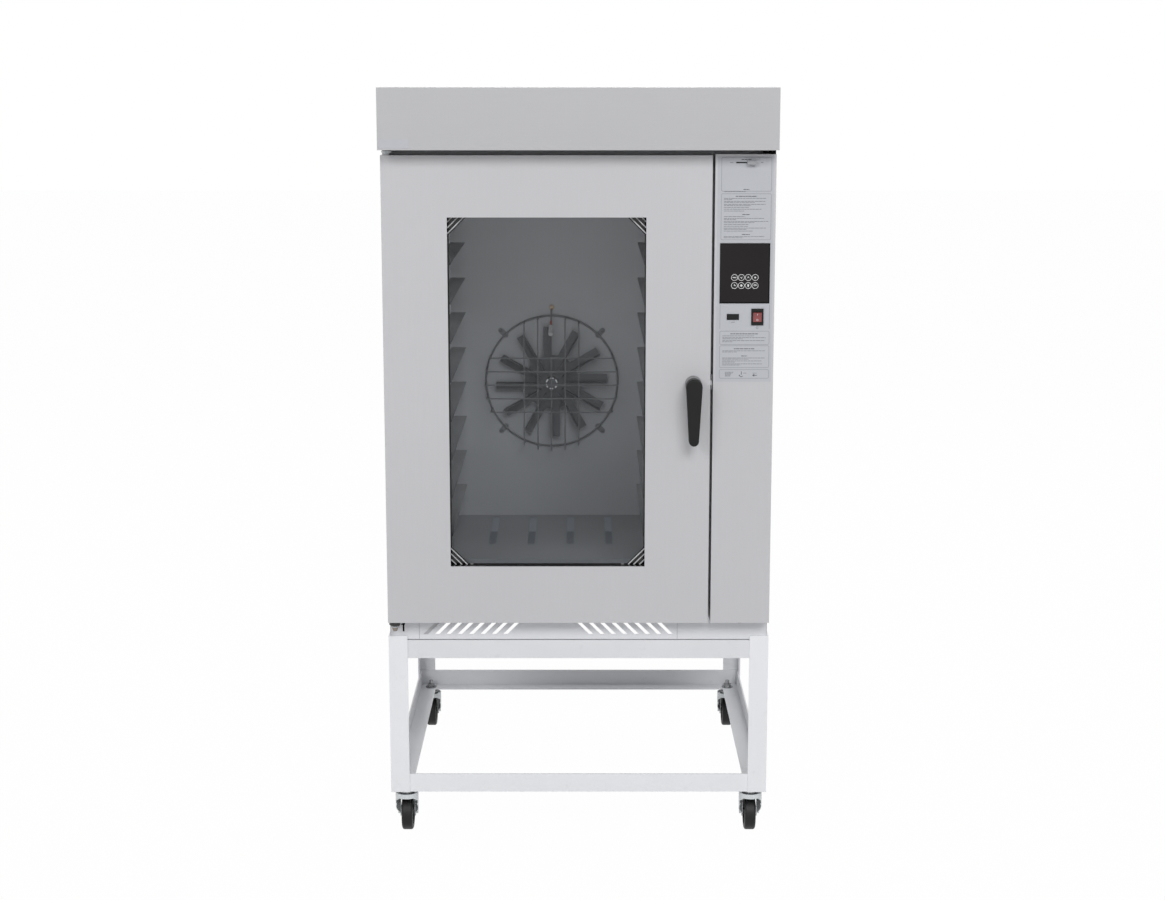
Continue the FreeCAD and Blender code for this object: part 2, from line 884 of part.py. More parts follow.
node(plate("badge_plate", "XZ", hood_front - s.badge_thick, s.badge_thick,
           rect(badge_left, badge_low, badge_left + s.badge_width, badge_low + s.badge_height)))

# control column and its fittings

column_depth = s.door_thick + s.seal_gap
display_right = half - s.display_inset
display_left = display_right - s.display_width
display_high = column_top - s.display_drop
display_low = display_high - s.display_height
damper_z = column_top - s.damper_drop
damper_right = half - s.damper_inset
damper_left = damper_right - s.damper_slot
switch_x = half - s.switch_inset
switch_z = column_top - s.switch_drop
port_x = column_left + s.port_inset


def centred(x, z, wide, high):
    return rect(x - wide / 2, z - high / 2, x + wide / 2, z + high / 2)


damper_opening = centred((damper_left + damper_right) / 2, damper_z,
                         s.damper_slot, s.damper_slot_height)
switch_outer = s.rocker_width + s.switch_wall * 2
switch_outer_high = s.rocker_height + s.rocker_swing * 2 + s.switch_wall * 2

column = new_body("control_column")
slab(column, "XZ", s.front_face, column_depth,
     rect(column_left, door_bottom, half, column_top))
cutout(column, "XZ", s.front_face + gauge, column_depth - gauge,
       rect(column_left + gauge, door_bottom + gauge, half - gauge, column_top - gauge))
cutout(column, "XZ", s.front_face, gauge,
       rect(display_left + s.display_lap, display_low + s.display_lap,
            display_right - s.display_lap, display_high - s.display_lap),
       damper_opening,
       centred(switch_x, switch_z, switch_outer + s.trim_fit, switch_outer_high + s.trim_fit),
       centred(port_x, switch_z, s.port_width - s.port_lap * 2, s.port_height - s.port_lap * 2))
grommet_x = (column_left + half) / 2
grommet_y = s.front_face + column_depth / 2
cutout(column, "XY", door_bottom, gauge, Circle(grommet_x, grommet_y, s.grommet_neck))
node(column)

overlay_high = column_top - s.overlay_edge
node(plate("control_overlay", "XZ", s.front_face - s.overlay_thick, s.overlay_thick,
           rect(column_left + s.overlay_edge, overlay_high - s.overlay_height,
                half - s.overlay_edge, overlay_high),
           rect(display_left - s.trim_fit, display_low - s.trim_fit,
                display_right + s.trim_fit, display_high + s.trim_fit),
           damper_opening,
           centred(switch_x, switch_z, s.bezel_width + s.trim_fit, s.bezel_height + s.trim_fit),
           centred(port_x, switch_z, s.port_width + s.trim_fit, s.port_height + s.trim_fit)))
node(plate("display_panel", "XZ", s.front_face - s.display_thick, s.display_thick,
           rect(display_left, display_low, display_right, display_high)))

port = new_body("port_cover")
slab(port, "XZ", s.front_face - s.port_thick, s.port_thick,
     centred(port_x, switch_z, s.port_width, s.port_height))
slab(port, "XZ", s.front_face, s.port_tail,
     centred(port_x, switch_z, s.port_width - s.port_lap * 2 - s.trim_fit,
             s.port_height - s.port_lap * 2 - s.trim_fit))
node(port)

rocker_room = s.rocker_width + s.rocker_play * 2
rocker_room_high = s.rocker_height + s.rocker_swing * 2
bezel = new_body("switch_bezel")
slab(bezel, "XZ", s.front_face - s.bezel_thick, s.bezel_thick,
     centred(switch_x, switch_z, s.bezel_width, s.bezel_height))
slab(bezel, "XZ", s.front_face, s.switch_depth,
     centred(switch_x, switch_z, switch_outer, switch_outer_high))
cutout(bezel, "XZ", s.front_face - s.bezel_thick, s.bezel_thick + s.switch_depth - s.switch_wall,
       centred(switch_x, switch_z, rocker_room, rocker_room_high))
socket = rocker_room / 2 + s.pivot_reach
cutout(bezel, "YZ", switch_x - socket, socket * 2,
       Circle(s.front_face, switch_z, s.pivot_radius + s.pivot_fit))
node(bezel)

rocker_end = s.rocker_height / 2
rocker = plate("switch_rocker", "YZ", -s.rocker_width / 2, s.rocker_width, [
    (-s.rocker_dip, 0), (-s.rocker_dip - s.rocker_rise, rocker_end), (s.rocker_back, rocker_end),
    (s.rocker_back, -rocker_end), (-s.rocker_dip - s.rocker_rise, -rocker_end)])
pivot = s.rocker_width / 2 + s.pivot_reach
slab(rocker, "YZ", -pivot, pivot * 2, Circle(0, 0, s.pivot_radius))
rocker.Placement = FreeCAD.Placement(
    FreeCAD.Vector(), FreeCAD.Rotation(FreeCAD.Vector(1, 0, 0), ROCKER_TILT))
node(move(rocker, switch_x, s.front_face, switch_z))

knob_x = damper_right - s.knob_width / 2
knob_back = s.front_face - s.overlay_thick - s.knob_gap
gate_front = s.front_face + gauge + s.gate_gap
slider = new_body("damper_slider")
knob_round = s.knob_height / 2
knob_half = s.knob_width / 2 - knob_round
slab(slider, "XZ", knob_back - s.knob_depth, s.knob_depth,
     centred(knob_x, damper_z, knob_half * 2, s.knob_height))
slab(slider, "XZ", knob_back - s.knob_depth, s.knob_depth,
     Circle(knob_x - knob_half, damper_z, knob_round), Circle(knob_x + knob_half, damper_z, knob_round))
slab(slider, "XZ", knob_back, gate_front - knob_back,
     centred(knob_x, damper_z, s.damper_stem, s.damper_stem_thick))
slab(slider, "XZ", gate_front, gauge,
     rect(knob_x - s.gate_length / 2, damper_z - s.gate_drop,
          knob_x + s.damper_stem, damper_z + s.gate_rise))
node(slider)

grommet = new_body("column_grommet")
turned(grommet, "V_Axis", [
    (0, door_bottom - s.grommet_drop), (s.grommet_foot, door_bottom - s.grommet_drop),
    (s.grommet_radius, door_bottom - s.grommet_drop / 2), (s.grommet_radius, door_bottom),
    (s.grommet_neck - s.pin_fit, door_bottom), (s.grommet_neck - s.pin_fit, door_bottom + gauge * 2),
    (0, door_bottom + gauge * 2)])
node(move(grommet, grommet_x, grommet_y, 0))

# oven cavity: liner, wool, floor plate

shaft_loop = Circle(cavity_mid, fan_z, s.shaft_hole)
probe_z = fan_z + s.probe_rise
liner_left = cavity_left - gauge
liner_right = cavity_right + gauge
node(group(
    "cavity_liner",
    plate("liner_left", "YZ", liner_left, gauge,
          rect(inner_front, liner_floor, cavity_back, cavity_top)),
    plate("liner_right", "YZ", cavity_right, gauge,
          rect(inner_front, liner_floor, cavity_back, cavity_top)),
    plate("liner_top", "XY", cavity_top, gauge,
          rect(liner_left, inner_front, liner_right, cavity_back)),
    plate("liner_bottom", "XY", liner_floor - gauge, gauge,
          rect(liner_left, inner_front, liner_right, cavity_back), *risers),
    plate("liner_back", "XZ", cavity_back, gauge,
          rect(liner_left, liner_floor - gauge, liner_right, cavity_top + gauge), shaft_loop)))

wool_back = cavity_back + gauge
wool_low = liner_floor - gauge
wool_high = cavity_top + gauge
standoffs = [
    Circle(cavity_mid + i * s.standoff_spread, fan_z + j * s.standoff_spread,
           s.standoff_radius + s.riser_fit)
    for i in (-1, 1) for j in (-1, 1)]
node(group(
    "insulation",
    plate("wool_left", "YZ", liner_left - s.wool_thick, s.wool_thick,
          rect(inner_front, wool_low, wool_back, wool_high)),
    plate("wool_right", "YZ", liner_right, s.wool_thick,
          rect(inner_front, wool_low, wool_back, wool_high)),
    plate("wool_top", "XY", wool_high, s.wool_thick,
          rect(liner_left, inner_front, liner_right, wool_back)),
    plate("wool_back", "XZ", wool_back, s.wool_thick,
          rect(liner_left, wool_low, liner_right, wool_high),
          Circle(cavity_mid, fan_z, s.shaft_hole), *standoffs),
    plate("wool_bottom", "XY", base_low + gauge, wool_low - base_low - gauge,
          rect(liner_left, base_front, liner_right, wool_back), *risers)))

floor_front = inner_front + s.floor_gap
floor_back = cavity_back - s.floor_gap
floor_bend = floor_back - s.floor_ramp_length
ramp_top = oven_floor + s.floor_ramp
floor = new_body("floor_plate")
slab(floor, "YZ", cavity_left + s.floor_gap, s.cavity_width - s.floor_gap * 2, [
    (floor_front, liner_floor), (floor_front, oven_floor), (floor_bend, oven_floor),
    (floor_back, ramp_top), (floor_back, liner_floor), (floor_back - gauge, liner_floor),
    (floor_back - gauge, ramp_top - gauge), (floor_bend, oven_floor - gauge),
    (floor_front + gauge, oven_floor - gauge), (floor_front + gauge, liner_floor)])
slot_rear = floor_back - s.floor_slot_margin
cutout(floor, "XY", oven_floor - s.floor_ramp, s.floor_ramp * 2 + gauge, *[
    rect(cavity_mid + step * s.floor_slot_pitch - s.floor_slot_width / 2,
         slot_rear - s.floor_slot_length,
         cavity_mid + step * s.floor_slot_pitch + s.floor_slot_width / 2, slot_rear)
    for step in (-1.5, -0.5, 0.5, 1.5)])
node(floor)

# tray guides on flat posts

guide_front = body_front + s.guide_setback
guide_x = cavity_left + s.post_thick
guides = []
for level in range(GUIDE_LEVELS):
    top = rail_top + s.guide_first + s.guide_pitch * level
    guides.append(plate(f"guide_{level}", "XZ", guide_front, s.guide_length, [
        (guide_x, top), (guide_x + s.guide_flange, top),
        (guide_x + s.guide_flange, top - s.guide_gauge),
        (guide_x + s.guide_gauge, top - s.guide_gauge),
        (guide_x + s.guide_gauge, top - s.guide_drop), (guide_x, top - s.guide_drop)]))
guides_left = group("guides_left", *guides)
node(group("tray_guides", guides_left, mirrored("guides_right", guides_left, "x", cavity_mid)))

post_low = rail_top + s.guide_first - s.guide_drop
post_high = rail_top + s.guide_first + s.guide_pitch * (GUIDE_LEVELS - 1)
posts = [
    plate(f"post_{end}", "YZ", cavity_left, s.post_thick,
          rect(start, post_low, start + s.post_width, post_high))
    for end, start in (("front", guide_front + s.post_inset),
                       ("rear", guide_front + s.guide_length - s.post_inset - s.post_width))]
posts_left = group("posts_left", *posts)
node(group("guide_posts", posts_left, mirrored("posts_right", posts_left, "x", cavity_mid)))

# burner tubes on cradles, fed from a pipe under the base pan

burner_z = liner_floor + s.burner_rise
burner_y = body_front + s.burner_setback
tubes = []
bores = []
for tag, x in (("left", burner_left), ("right", burner_right)):
    tubes.append(rod(f"burner_tube_{tag}", "y", x, burner_y, burner_z,
                     s.burner_radius, s.burner_length))
    bores.append(rod(f"burner_bore_{tag}", "y", x, burner_y + s.burner_wall, burner_z,
                     s.burner_radius - s.burner_wall, s.burner_length - s.burner_wall * 2))
    for step in range(1, BURNER_SLOTS + 1):
        bores.append(block(f"burner_slot_{tag}", x - s.burner_radius / 2,
                           burner_y + s.burner_length / (BURNER_SLOTS + 1) * step, burner_z,
                           s.burner_radius, s.burner_slot, s.burner_radius * 2))
for tag, y in (("front", burner_y + s.cradle_inset),
               ("rear", burner_y + s.burner_length - s.cradle_inset)):
    tubes.append(block(f"burner_cradle_{tag}", burner_left - s.burner_radius, y, liner_floor,
                       (s.burner_spread + s.burner_radius) * 2, s.cradle_thick,
                       s.burner_rise - s.burner_radius / 2))
node(subtract("burner", fuse("burner_weld", *tubes), fuse("burner_voids", *bores)))

pipe_end = body_rear + gauge + s.inlet_reach
riser_top = burner_z - s.burner_radius
elbow = doc.addObject("Part::Sphere", "gas_elbow")
drive(elbow, "Radius", s.pipe_radius)
move(elbow, inlet_x, pipe_y, pipe_z)
node(fuse(
    "gas_pipe",
    rod("gas_cross_run", "x", burner_left - s.pipe_radius, pipe_y, pipe_z,
        s.pipe_radius, inlet_x - burner_left + s.pipe_radius),
    rod("gas_long_run", "y", inlet_x, pipe_y, pipe_z, s.pipe_radius, pipe_end - pipe_y),
    rod("gas_riser_left", "z", burner_left, pipe_y, pipe_z, s.riser_radius, riser_top - pipe_z),
    rod("gas_riser_right", "z", burner_right, pipe_y, pipe_z, s.riser_radius, riser_top - pipe_z),
    hexagon("gas_union", "y", inlet_x, pipe_end - s.inlet_spigot - s.union_length, pipe_z,
            s.union_radius, s.union_length),
    elbow))

gland = new_body("cable_gland")
rear_face = body_rear + gauge
slab(gland, "XZ", rear_face, s.gland_flange_thick, Circle(0, 0, s.gland_flange),
     Circle(0, 0, s.gland_bore))
slab(gland, "XZ", rear_face + s.gland_flange_thick, s.gland_length - s.gland_flange_thick,
     Circle(0, 0, s.gland_radius), Circle(0, 0, s.gland_bore))
node(move(gland, inlet_x, 0, gland_z))

# circulation fan: motor, shaft, folded star impeller, wire guard

wool_rear = wool_back + s.wool_thick
plate_edge = s.motor_plate / 2
bore_loop = Circle(0, 0, s.shaft_radius + s.shaft_fit)
motor = new_body("fan_motor")
slab(motor, "XZ", wool_rear, s.motor_plate_thick,
     rect(-plate_edge, -plate_edge, plate_edge, plate_edge), bore_loop)
barrel_front = wool_rear + s.motor_plate_thick
slab(motor, "XZ", barrel_front, s.motor_length, Circle(0, 0, s.motor_radius), bore_loop)
slab(motor, "XZ", barrel_front + s.motor_length, s.bell_length, Circle(0, 0, s.bell_radius))
slab(motor, "XZ", wool_back, s.wool_thick, *[
    Circle(i * s.standoff_spread, j * s.standoff_spread, s.standoff_radius)
    for i in (-1, 1) for j in (-1, 1)])
node(move(motor, cavity_mid, 0, fan_z))

star_back = cavity_back - s.fan_gap
star_front = star_back - s.blade_gauge
shaft_front = star_front - s.hub_length
node(rod("fan_shaft", "y", cavity_mid, shaft_front, fan_z, s.shaft_radius,
         wool_rear + s.shaft_seat - shaft_front))

impeller = new_body("fan_impeller")
hub_bore = Circle(0, 0, s.shaft_radius)
slab(impeller, "XZ", star_front, s.blade_gauge, Circle(0, 0, s.star_radius), hub_bore)
slab(impeller, "XZ", shaft_front, s.hub_length, Circle(0, 0, s.hub_radius), hub_bore)
blade_root = s.hub_radius * 2
blade = slab(impeller, "XZ", star_front, s.blade_gauge,
             rect(blade_root, 0, s.blade_radius, s.blade_width))
fold = slab(impeller, "XZ", star_front - s.blade_fold, s.blade_fold,
            rect(blade_root, 0, s.blade_radius, s.blade_gauge))
ring = impeller.newObject("PartDesign::PolarPattern", "blade_ring")
ring.Originals = [blade, fold]
ring.Axis = (blade.Profile[0], ["N_Axis"])
ring.Angle = 360
ring.Occurrences = BLADE_COUNT
impeller.Tip = ring
node(move(impeller, cavity_mid, 0, fan_z))

weld = s.grid_wire / 4
ring_y = -s.tab_thick - s.ring_wire + weld
grid_y = ring_y - s.guard_depth
cross_y = grid_y + s.grid_wire * 2 - weld
hoop = doc.addObject("Part::Torus", "guard_hoop")
hoop.Placement = FreeCAD.Placement(FreeCAD.Vector(), AIM["y"])
drive(hoop, "Radius1", s.guard_radius)
drive(hoop, "Radius2", s.ring_wire)
move(hoop, 0, ring_y, 0)
wires = [hoop]
for step in range(GUARD_WIRES):
    off = s.guard_pitch * (step - (GUARD_WIRES - 1) / 2)
    reach = root(s.guard_radius * s.guard_radius - off * off)
    wire = s.grid_wire
    wires.append(rod("guard_row", "x", -reach - wire, grid_y, off, wire, (reach + wire) * 2))
    for end in (-reach, reach):
        wires.append(rod("guard_return", "y", end, grid_y, off, wire, ring_y - grid_y))
    middle = step == GUARD_WIRES // 2
    top = s.guard_pitch * (GUARD_WIRES // 2) if middle else reach
    wires.append(rod("guard_column", "z", off, cross_y, -reach - wire, wire, top + reach + wire * 2))
    for end in ((-reach,) if middle else (-reach, reach)):
        wires.append(rod("guard_return", "y", off, cross_y, end, wire, ring_y - cross_y))
for i in (-1, 1):
    for j in (-1, 1):
        tab = plate("guard_tab", "XZ", -s.tab_thick, s.tab_thick,
                    rect(s.tab_inner, -s.tab_radius, s.tab_outer, s.tab_radius))
        slab(tab, "XZ", -s.tab_thick, s.tab_thick, Circle(s.tab_inner, 0, s.tab_radius))
        slab(tab, "XZ", -s.tab_thick, s.tab_thick, Circle(s.tab_outer, 0, s.tab_radius))
        turn = math.degrees(math.atan2(j, i))
        tab.Placement = FreeCAD.Placement(
            FreeCAD.Vector(), FreeCAD.Rotation(FreeCAD.Vector(0, -1, 0), turn))
        wires.append(tab)
node(move(fuse("fan_guard", *wires), cavity_mid, cavity_back, fan_z))

needle = new_body("probe_needle")
rod_end = s.probe_rod_length
collar_end = rod_end + s.probe_collar_length
turned(needle, "V_Axis", [
    (0, s.probe_nut), (s.probe_rod, s.probe_nut), (s.probe_rod, rod_end),
    (s.probe_collar, rod_end), (s.probe_collar, collar_end), (s.probe_tip, collar_end),
    (s.probe_tip, collar_end + s.probe_tip_length), (0, collar_end + s.probe_tip_length)])
needle.Placement = FreeCAD.Placement(
    FreeCAD.Vector(), FreeCAD.Rotation(FreeCAD.Vector(0, 0, 1), PROBE_SLOPE))
fitting = hexagon("probe_fitting", "y", 0, -s.probe_nut_length, 0, s.probe_nut, s.probe_nut_length)
node(move(fuse("temperature_probe", needle, fitting), cavity_mid, cavity_back, probe_z))

# door hinges, fixed to the body

arm_top = door_bottom - s.pin_gap
arm_low = arm_top - s.arm_thick
cup_low = arm_low - s.cup_height
cone_low = cup_low - s.cone_height
hinge = new_body("hinge_bottom")
arm_back = inner_front + s.hinge_setback - hinge_y
slab(hinge, "XY", arm_low, s.arm_thick, Circle(0, 0, s.arm_radius))
slab(hinge, "YZ", gusset_left - hinge_x, s.gusset_thick, [
    (0, arm_low), (arm_back, arm_top - s.gusset_height), (arm_back, arm_top), (0, arm_top)])
plate_left = s.stand_fit - panel_inner - hinge_x
slab(hinge, "XZ", arm_back, s.hinge_plate,
     rect(plate_left, rail_top + s.hinge_plate_low, plate_left + s.hinge_plate_width, arm_top))
turned(hinge, "V_Axis", [
    (0, cone_low), (s.cone_tip, cone_low), (s.cone_top, cup_low), (s.cup_foot, cup_low),
    (s.cup_radius, arm_low), (0, arm_low)])
slab(hinge, "XY", arm_top, s.pin_reach, Circle(0, 0, s.pin_radius))
node(move(hinge, hinge_x, hinge_y, 0))

upper = new_body("hinge_top")
leaf_low = door_top + s.top_gap
slab(upper, "XY", leaf_low, s.top_plate, Circle(0, 0, s.arm_radius))
slab(upper, "XY", leaf_low, s.top_plate,
     rect(-s.arm_radius, 0, s.arm_radius, body_front - hinge_y))
slab(upper, "XY", leaf_low - s.pin_reach, s.pin_reach, Circle(0, 0, s.pin_radius))
slab(upper, "XY", door_top + s.pin_gap, s.top_gap - s.pin_gap, Circle(0, 0, s.collar_radius))
node(move(upper, hinge_x, hinge_y, 0))

keeper_back = body_front - s.keeper_depth
node(block("latch_keeper", column_left - s.keeper_thick, keeper_back,
           handle_z - s.keeper_height / 2, s.keeper_thick, s.keeper_depth, s.keeper_height))

# door: folded outer shell, inner panel, two panes, window frame and seal

window_left = cavity_mid - s.window_width / 2
window_right = cavity_mid + s.window_width / 2
window_low = door_bottom + s.window_sill
window_high = window_low + s.window_height
window = rect(window_left, window_low, window_right, window_high)


def around(margin):
    return rect(window_left - margin, window_low - margin,
                window_right + margin, window_high + margin)


tongue_front = s.front_face + s.tongue_setback
pin_hole = Circle(hinge_x, hinge_y, s.pin_radius + s.pin_fit)
spindle_hole = s.spindle_radius + s.spindle_fit
shell_depth = s.door_thick - gauge
shell = new_body("door_outer")
slab(shell, "XZ", s.front_face, shell_depth, rect(door_left, door_bottom, door_right, door_top))
cutout(shell, "XZ", s.front_face + gauge, shell_depth - gauge,
       rect(door_left + gauge, door_bottom + gauge, door_right - gauge, door_top - gauge))
cutout(shell, "XZ", s.front_face, gauge, window, Circle(handle_x, handle_z, spindle_hole))
cutout(shell, "XY", door_bottom, gauge, pin_hole)
cutout(shell, "XY", door_top - gauge, gauge, pin_hole)
cutout(shell, "YZ", door_right - gauge, gauge,
       rect(tongue_front - s.pin_gap, handle_z - s.tongue_slot_down,
            tongue_front + s.tongue_thick + s.pin_gap, handle_z + s.tongue_slot_up))
node(shell)

node(plate("door_inner", "XZ", door_back - gauge, gauge,
           rect(door_left, door_bottom, door_right, door_top),
           rect(window_left, window_low + s.inner_sill, window_right, window_high)))
pane_front = s.front_face + s.window_recess
pane_rear = door_back - gauge - s.glass_thick
node(plate("door_glass_outer", "XZ", pane_front, s.glass_thick, around(s.glass_lap)))
node(plate("door_glass_inner", "XZ", pane_rear, s.glass_thick, around(s.glass_lap)))
spacer_front = pane_front + s.glass_thick


def four_strips(name, level, thick, left, low, right, high, wide):
    """Two upright strips and two cross strips butted between them, around an opening."""
    strips = {
        "left": rect(left - wide, low - wide, left, high + wide),
        "right": rect(right, low - wide, right + wide, high + wide),
        "low": rect(left, low - wide, right, low),
        "high": rect(left, high, right, high + wide),
    }
    return group(name, *[
        plate(f"{name}_{side}", "XZ", level, thick, strip) for side, strip in strips.items()])


lap = s.spacer_lap
spacer = four_strips("window_spacer", spacer_front, pane_rear - spacer_front, window_left - lap,
                     window_low - lap, window_right + lap, window_high + lap, gauge)
reveal = four_strips("window_reveal", s.front_face + gauge, s.window_recess - gauge, window_left,
                     window_low, window_right, window_high, s.reveal_thick)
node(group("window_frame", spacer, reveal))
rim = s.seal_margin
node(four_strips("door_seal", door_back, s.seal_gap - s.seal_clear, cavity_left - rim,
                 oven_floor - rim, cavity_right + rim, cavity_top + rim, s.seal_width))

# handle: boss on the door, lever with spindle and latch tongue

boss_front = s.front_face - s.boss_length
node(move(plate("handle_boss", "XZ", boss_front, s.boss_length,
                Circle(0, 0, s.boss_radius), Circle(0, 0, spindle_hole)), handle_x, 0, handle_z))

lever_back = boss_front - s.lever_gap
lever_front = lever_back - s.lever_thick
lever = new_body("handle_lever")
slab(lever, "XZ", lever_front, s.lever_thick, Circle(0, 0, s.lever_radius))
slab(lever, "XZ", lever_front, s.lever_thick, Circle(0, -s.lever_reach, s.lever_tip))
lean = (s.lever_radius - s.lever_tip) / s.lever_reach
upright = root(1 - lean * lean)
head_side = s.lever_radius * upright
head_drop = -s.lever_radius * lean
tip_side = s.lever_tip * upright
tip_drop = -s.lever_reach - s.lever_tip * lean
shank = slab(lever, "XZ", lever_front, s.lever_thick, [
    (-head_side, head_drop), (-tip_side, tip_drop), (tip_side, tip_drop), (head_side, head_drop)])
doc.recompute()
front_edges = [
    f"Edge{index}" for index, edge in enumerate(shank.Shape.Edges, start=1)
    if edge.BoundBox.YMax - lever_front.value < s.lever_round.value / 2]
soft = lever.newObject("PartDesign::Fillet", "lever_soft_edge")
soft.Base = (shank, front_edges)
drive(soft, "Radius", s.lever_round)
node(move(lever, handle_x, 0, handle_z))

spindle = new_body("latch_spindle")
slab(spindle, "XZ", lever_back, s.front_face + s.spindle_tail - lever_back,
     Circle(0, 0, s.spindle_radius))
slab(spindle, "XZ", tongue_front, s.tongue_thick,
     rect(0, -s.tongue_height / 2, s.tongue_reach, s.tongue_height / 2))
node(move(spindle, handle_x, 0, handle_z))

doc.recompute()

for item in doc.Objects:
    if "Invalid" in item.State or "Error" in item.State:
        raise RuntimeError(f"{item.Label}: {item.State}")

os.makedirs("parts", exist_ok=True)
for item in nodes:
    shape = item.Shape
    if shape.isNull() or not shape.isValid() or not shape.Solids:
        raise RuntimeError(f"{item.Label}: no valid solid")
    shape.exportStep(f"parts/{item.Label}.step")
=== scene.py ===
import math
import random

import bpy
from mathutils import Matrix, Vector


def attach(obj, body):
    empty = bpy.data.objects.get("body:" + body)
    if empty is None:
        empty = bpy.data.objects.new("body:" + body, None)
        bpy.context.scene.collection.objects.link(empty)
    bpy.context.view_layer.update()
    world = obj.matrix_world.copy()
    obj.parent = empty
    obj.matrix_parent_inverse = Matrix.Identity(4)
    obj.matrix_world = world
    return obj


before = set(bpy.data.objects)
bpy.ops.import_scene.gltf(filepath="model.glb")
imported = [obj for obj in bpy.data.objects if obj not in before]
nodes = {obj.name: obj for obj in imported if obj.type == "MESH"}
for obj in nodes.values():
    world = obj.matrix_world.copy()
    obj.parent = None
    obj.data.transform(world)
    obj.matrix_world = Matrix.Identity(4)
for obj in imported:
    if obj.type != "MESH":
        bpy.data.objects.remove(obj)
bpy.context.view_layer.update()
scene = bpy.context.scene
rng = random.Random(7)

# The object's lengths are in millimetres until a mesh or a material is built, the stage's in metres.
MM = 0.001


def box(name):
    """Least and greatest corner of a CAD node, in millimetres."""
    item = nodes[name]
    corners = [item.matrix_world @ Vector(corner) for corner in item.bound_box]
    return [Vector([pick(c[axis] for c in corners) for axis in range(3)]) / MM for pick in (min, max)]


def middle(name):
    low, high = box(name)
    return (low + high) / 2


def srgb(r, g, b):
    """Linear colour of an 8-bit screen colour."""
    def channel(v):
        v /= 255.0
        return v / 12.92 if v <= 0.04045 else ((v + 0.055) / 1.055) ** 2.4
    return (channel(r), channel(g), channel(b), 1.0)


def shade(colour, factor):
    return tuple(min(1.0, c * factor) for c in colour[:3]) + (1.0,)


# materials

WHITE = (1, 1, 1, 1)
EVEN = (1, 1, 1)
UPRIGHT = (1, 1, 0.02)
ALONG = (0.02, 1, 1)
GRAIN_DEPTH = 0.0004
GLOSS_SWING = 0.06
SPECK_SHARE, SPECK_DEPTH = 0.35, 2.2
SCUFF_SCALE, SCUFF_START, SCUFF_FULL = 6, 0.60, 0.68
BAND_GRAIN, BAND_GLOSS_SWING = 700.0, 0.05
BAND_SPECK, BAND_SPECK_GREY = 0.2, srgb(38, 38, 38)
BAND_BUMP = 0.05
HAZE_SCALE, HAZE_SWING = 9.0, 0.005
PANE_ROUGH = (0.01, 0.03)


class Shader:
    """A node material in the making."""

    def __init__(self, name):
        self.material = bpy.data.materials.new(name)
        self.material.use_nodes = True
        self.tree = self.material.node_tree
        self.bsdf = self.tree.nodes["Principled BSDF"]
        self.output = self.tree.nodes["Material Output"]

    def add(self, kind, **settings):
        item = self.tree.nodes.new(kind)
        for key, value in settings.items():
            setattr(item, key, value)
        return item

    def link(self, source, target):
        self.tree.links.new(source, target)

    def place(self, stretch=EVEN):
        where = self.add("ShaderNodeTexCoord")
        mapping = self.add("ShaderNodeMapping")
        mapping.inputs["Scale"].default_value = stretch
        self.link(where.outputs["Object"], mapping.inputs["Vector"])
        return mapping.outputs["Vector"]

    def noise(self, vector, scale, detail=3.0, roughness=0.55):
        item = self.add("ShaderNodeTexNoise")
        item.inputs["Scale"].default_value = scale
        item.inputs["Detail"].default_value = detail
        item.inputs["Roughness"].default_value = roughness
        self.link(vector, item.inputs["Vector"])
        return item.outputs[0]

    def remap(self, value, low, high, start=0.3, end=0.7):
        item = self.add("ShaderNodeMapRange")
        item.inputs["From Min"].default_value = start
        item.inputs["From Max"].default_value = end
        item.inputs["To Min"].default_value = low
        item.inputs["To Max"].default_value = high
        self.link(value, item.inputs["Value"])
        return item.outputs["Result"]

    def mix(self, factor, first, second):
        item = self.add("ShaderNodeMix", data_type="RGBA")
        self.link(factor, item.inputs[0])
        for socket, value in ((item.inputs[6], first), (item.inputs[7], second)):
            if isinstance(value, tuple):
                socket.default_value = value
            else:
                self.link(value, socket)
        return item.outputs[2]

    def bump(self, height, strength):
        item = self.add("ShaderNodeBump")
        item.inputs["Strength"].default_value = strength
        item.inputs["Distance"].default_value = GRAIN_DEPTH
        self.link(height, item.inputs["Height"])
        self.link(item.outputs["Normal"], self.bsdf.inputs["Normal"])

    def coordinate(self, axis):
        split = self.add("ShaderNodeSeparateXYZ")
        self.link(self.place(), split.inputs[0])
        return split.outputs[axis]

    def beyond(self, axis, limit):
        """1 where the object coordinate is past the limit, in millimetres."""
        step = self.add("ShaderNodeMath", operation="GREATER_THAN")
        step.inputs[1].default_value = limit * MM
        self.link(self.coordinate(axis), step.inputs[0])
        return step.outputs[0]

    def cover(self, share, colour):
        """Lay a colour over the finish, by a share between 0 and 1."""
        socket = self.bsdf.inputs["Base Color"]
        self.link(self.mix(share, socket.links[0].from_socket, colour), socket)

    def fade(self, axis, start, end, colour):
        """Let the given colour at the start go over into the finish at the end, in millimetres."""
        self.cover(self.remap(self.coordinate(axis), 1.0, 0.0, start * MM, end * MM), colour)

    def paint_beyond(self, axis, limit, colour):
        self.cover(self.beyond(axis, limit), colour)


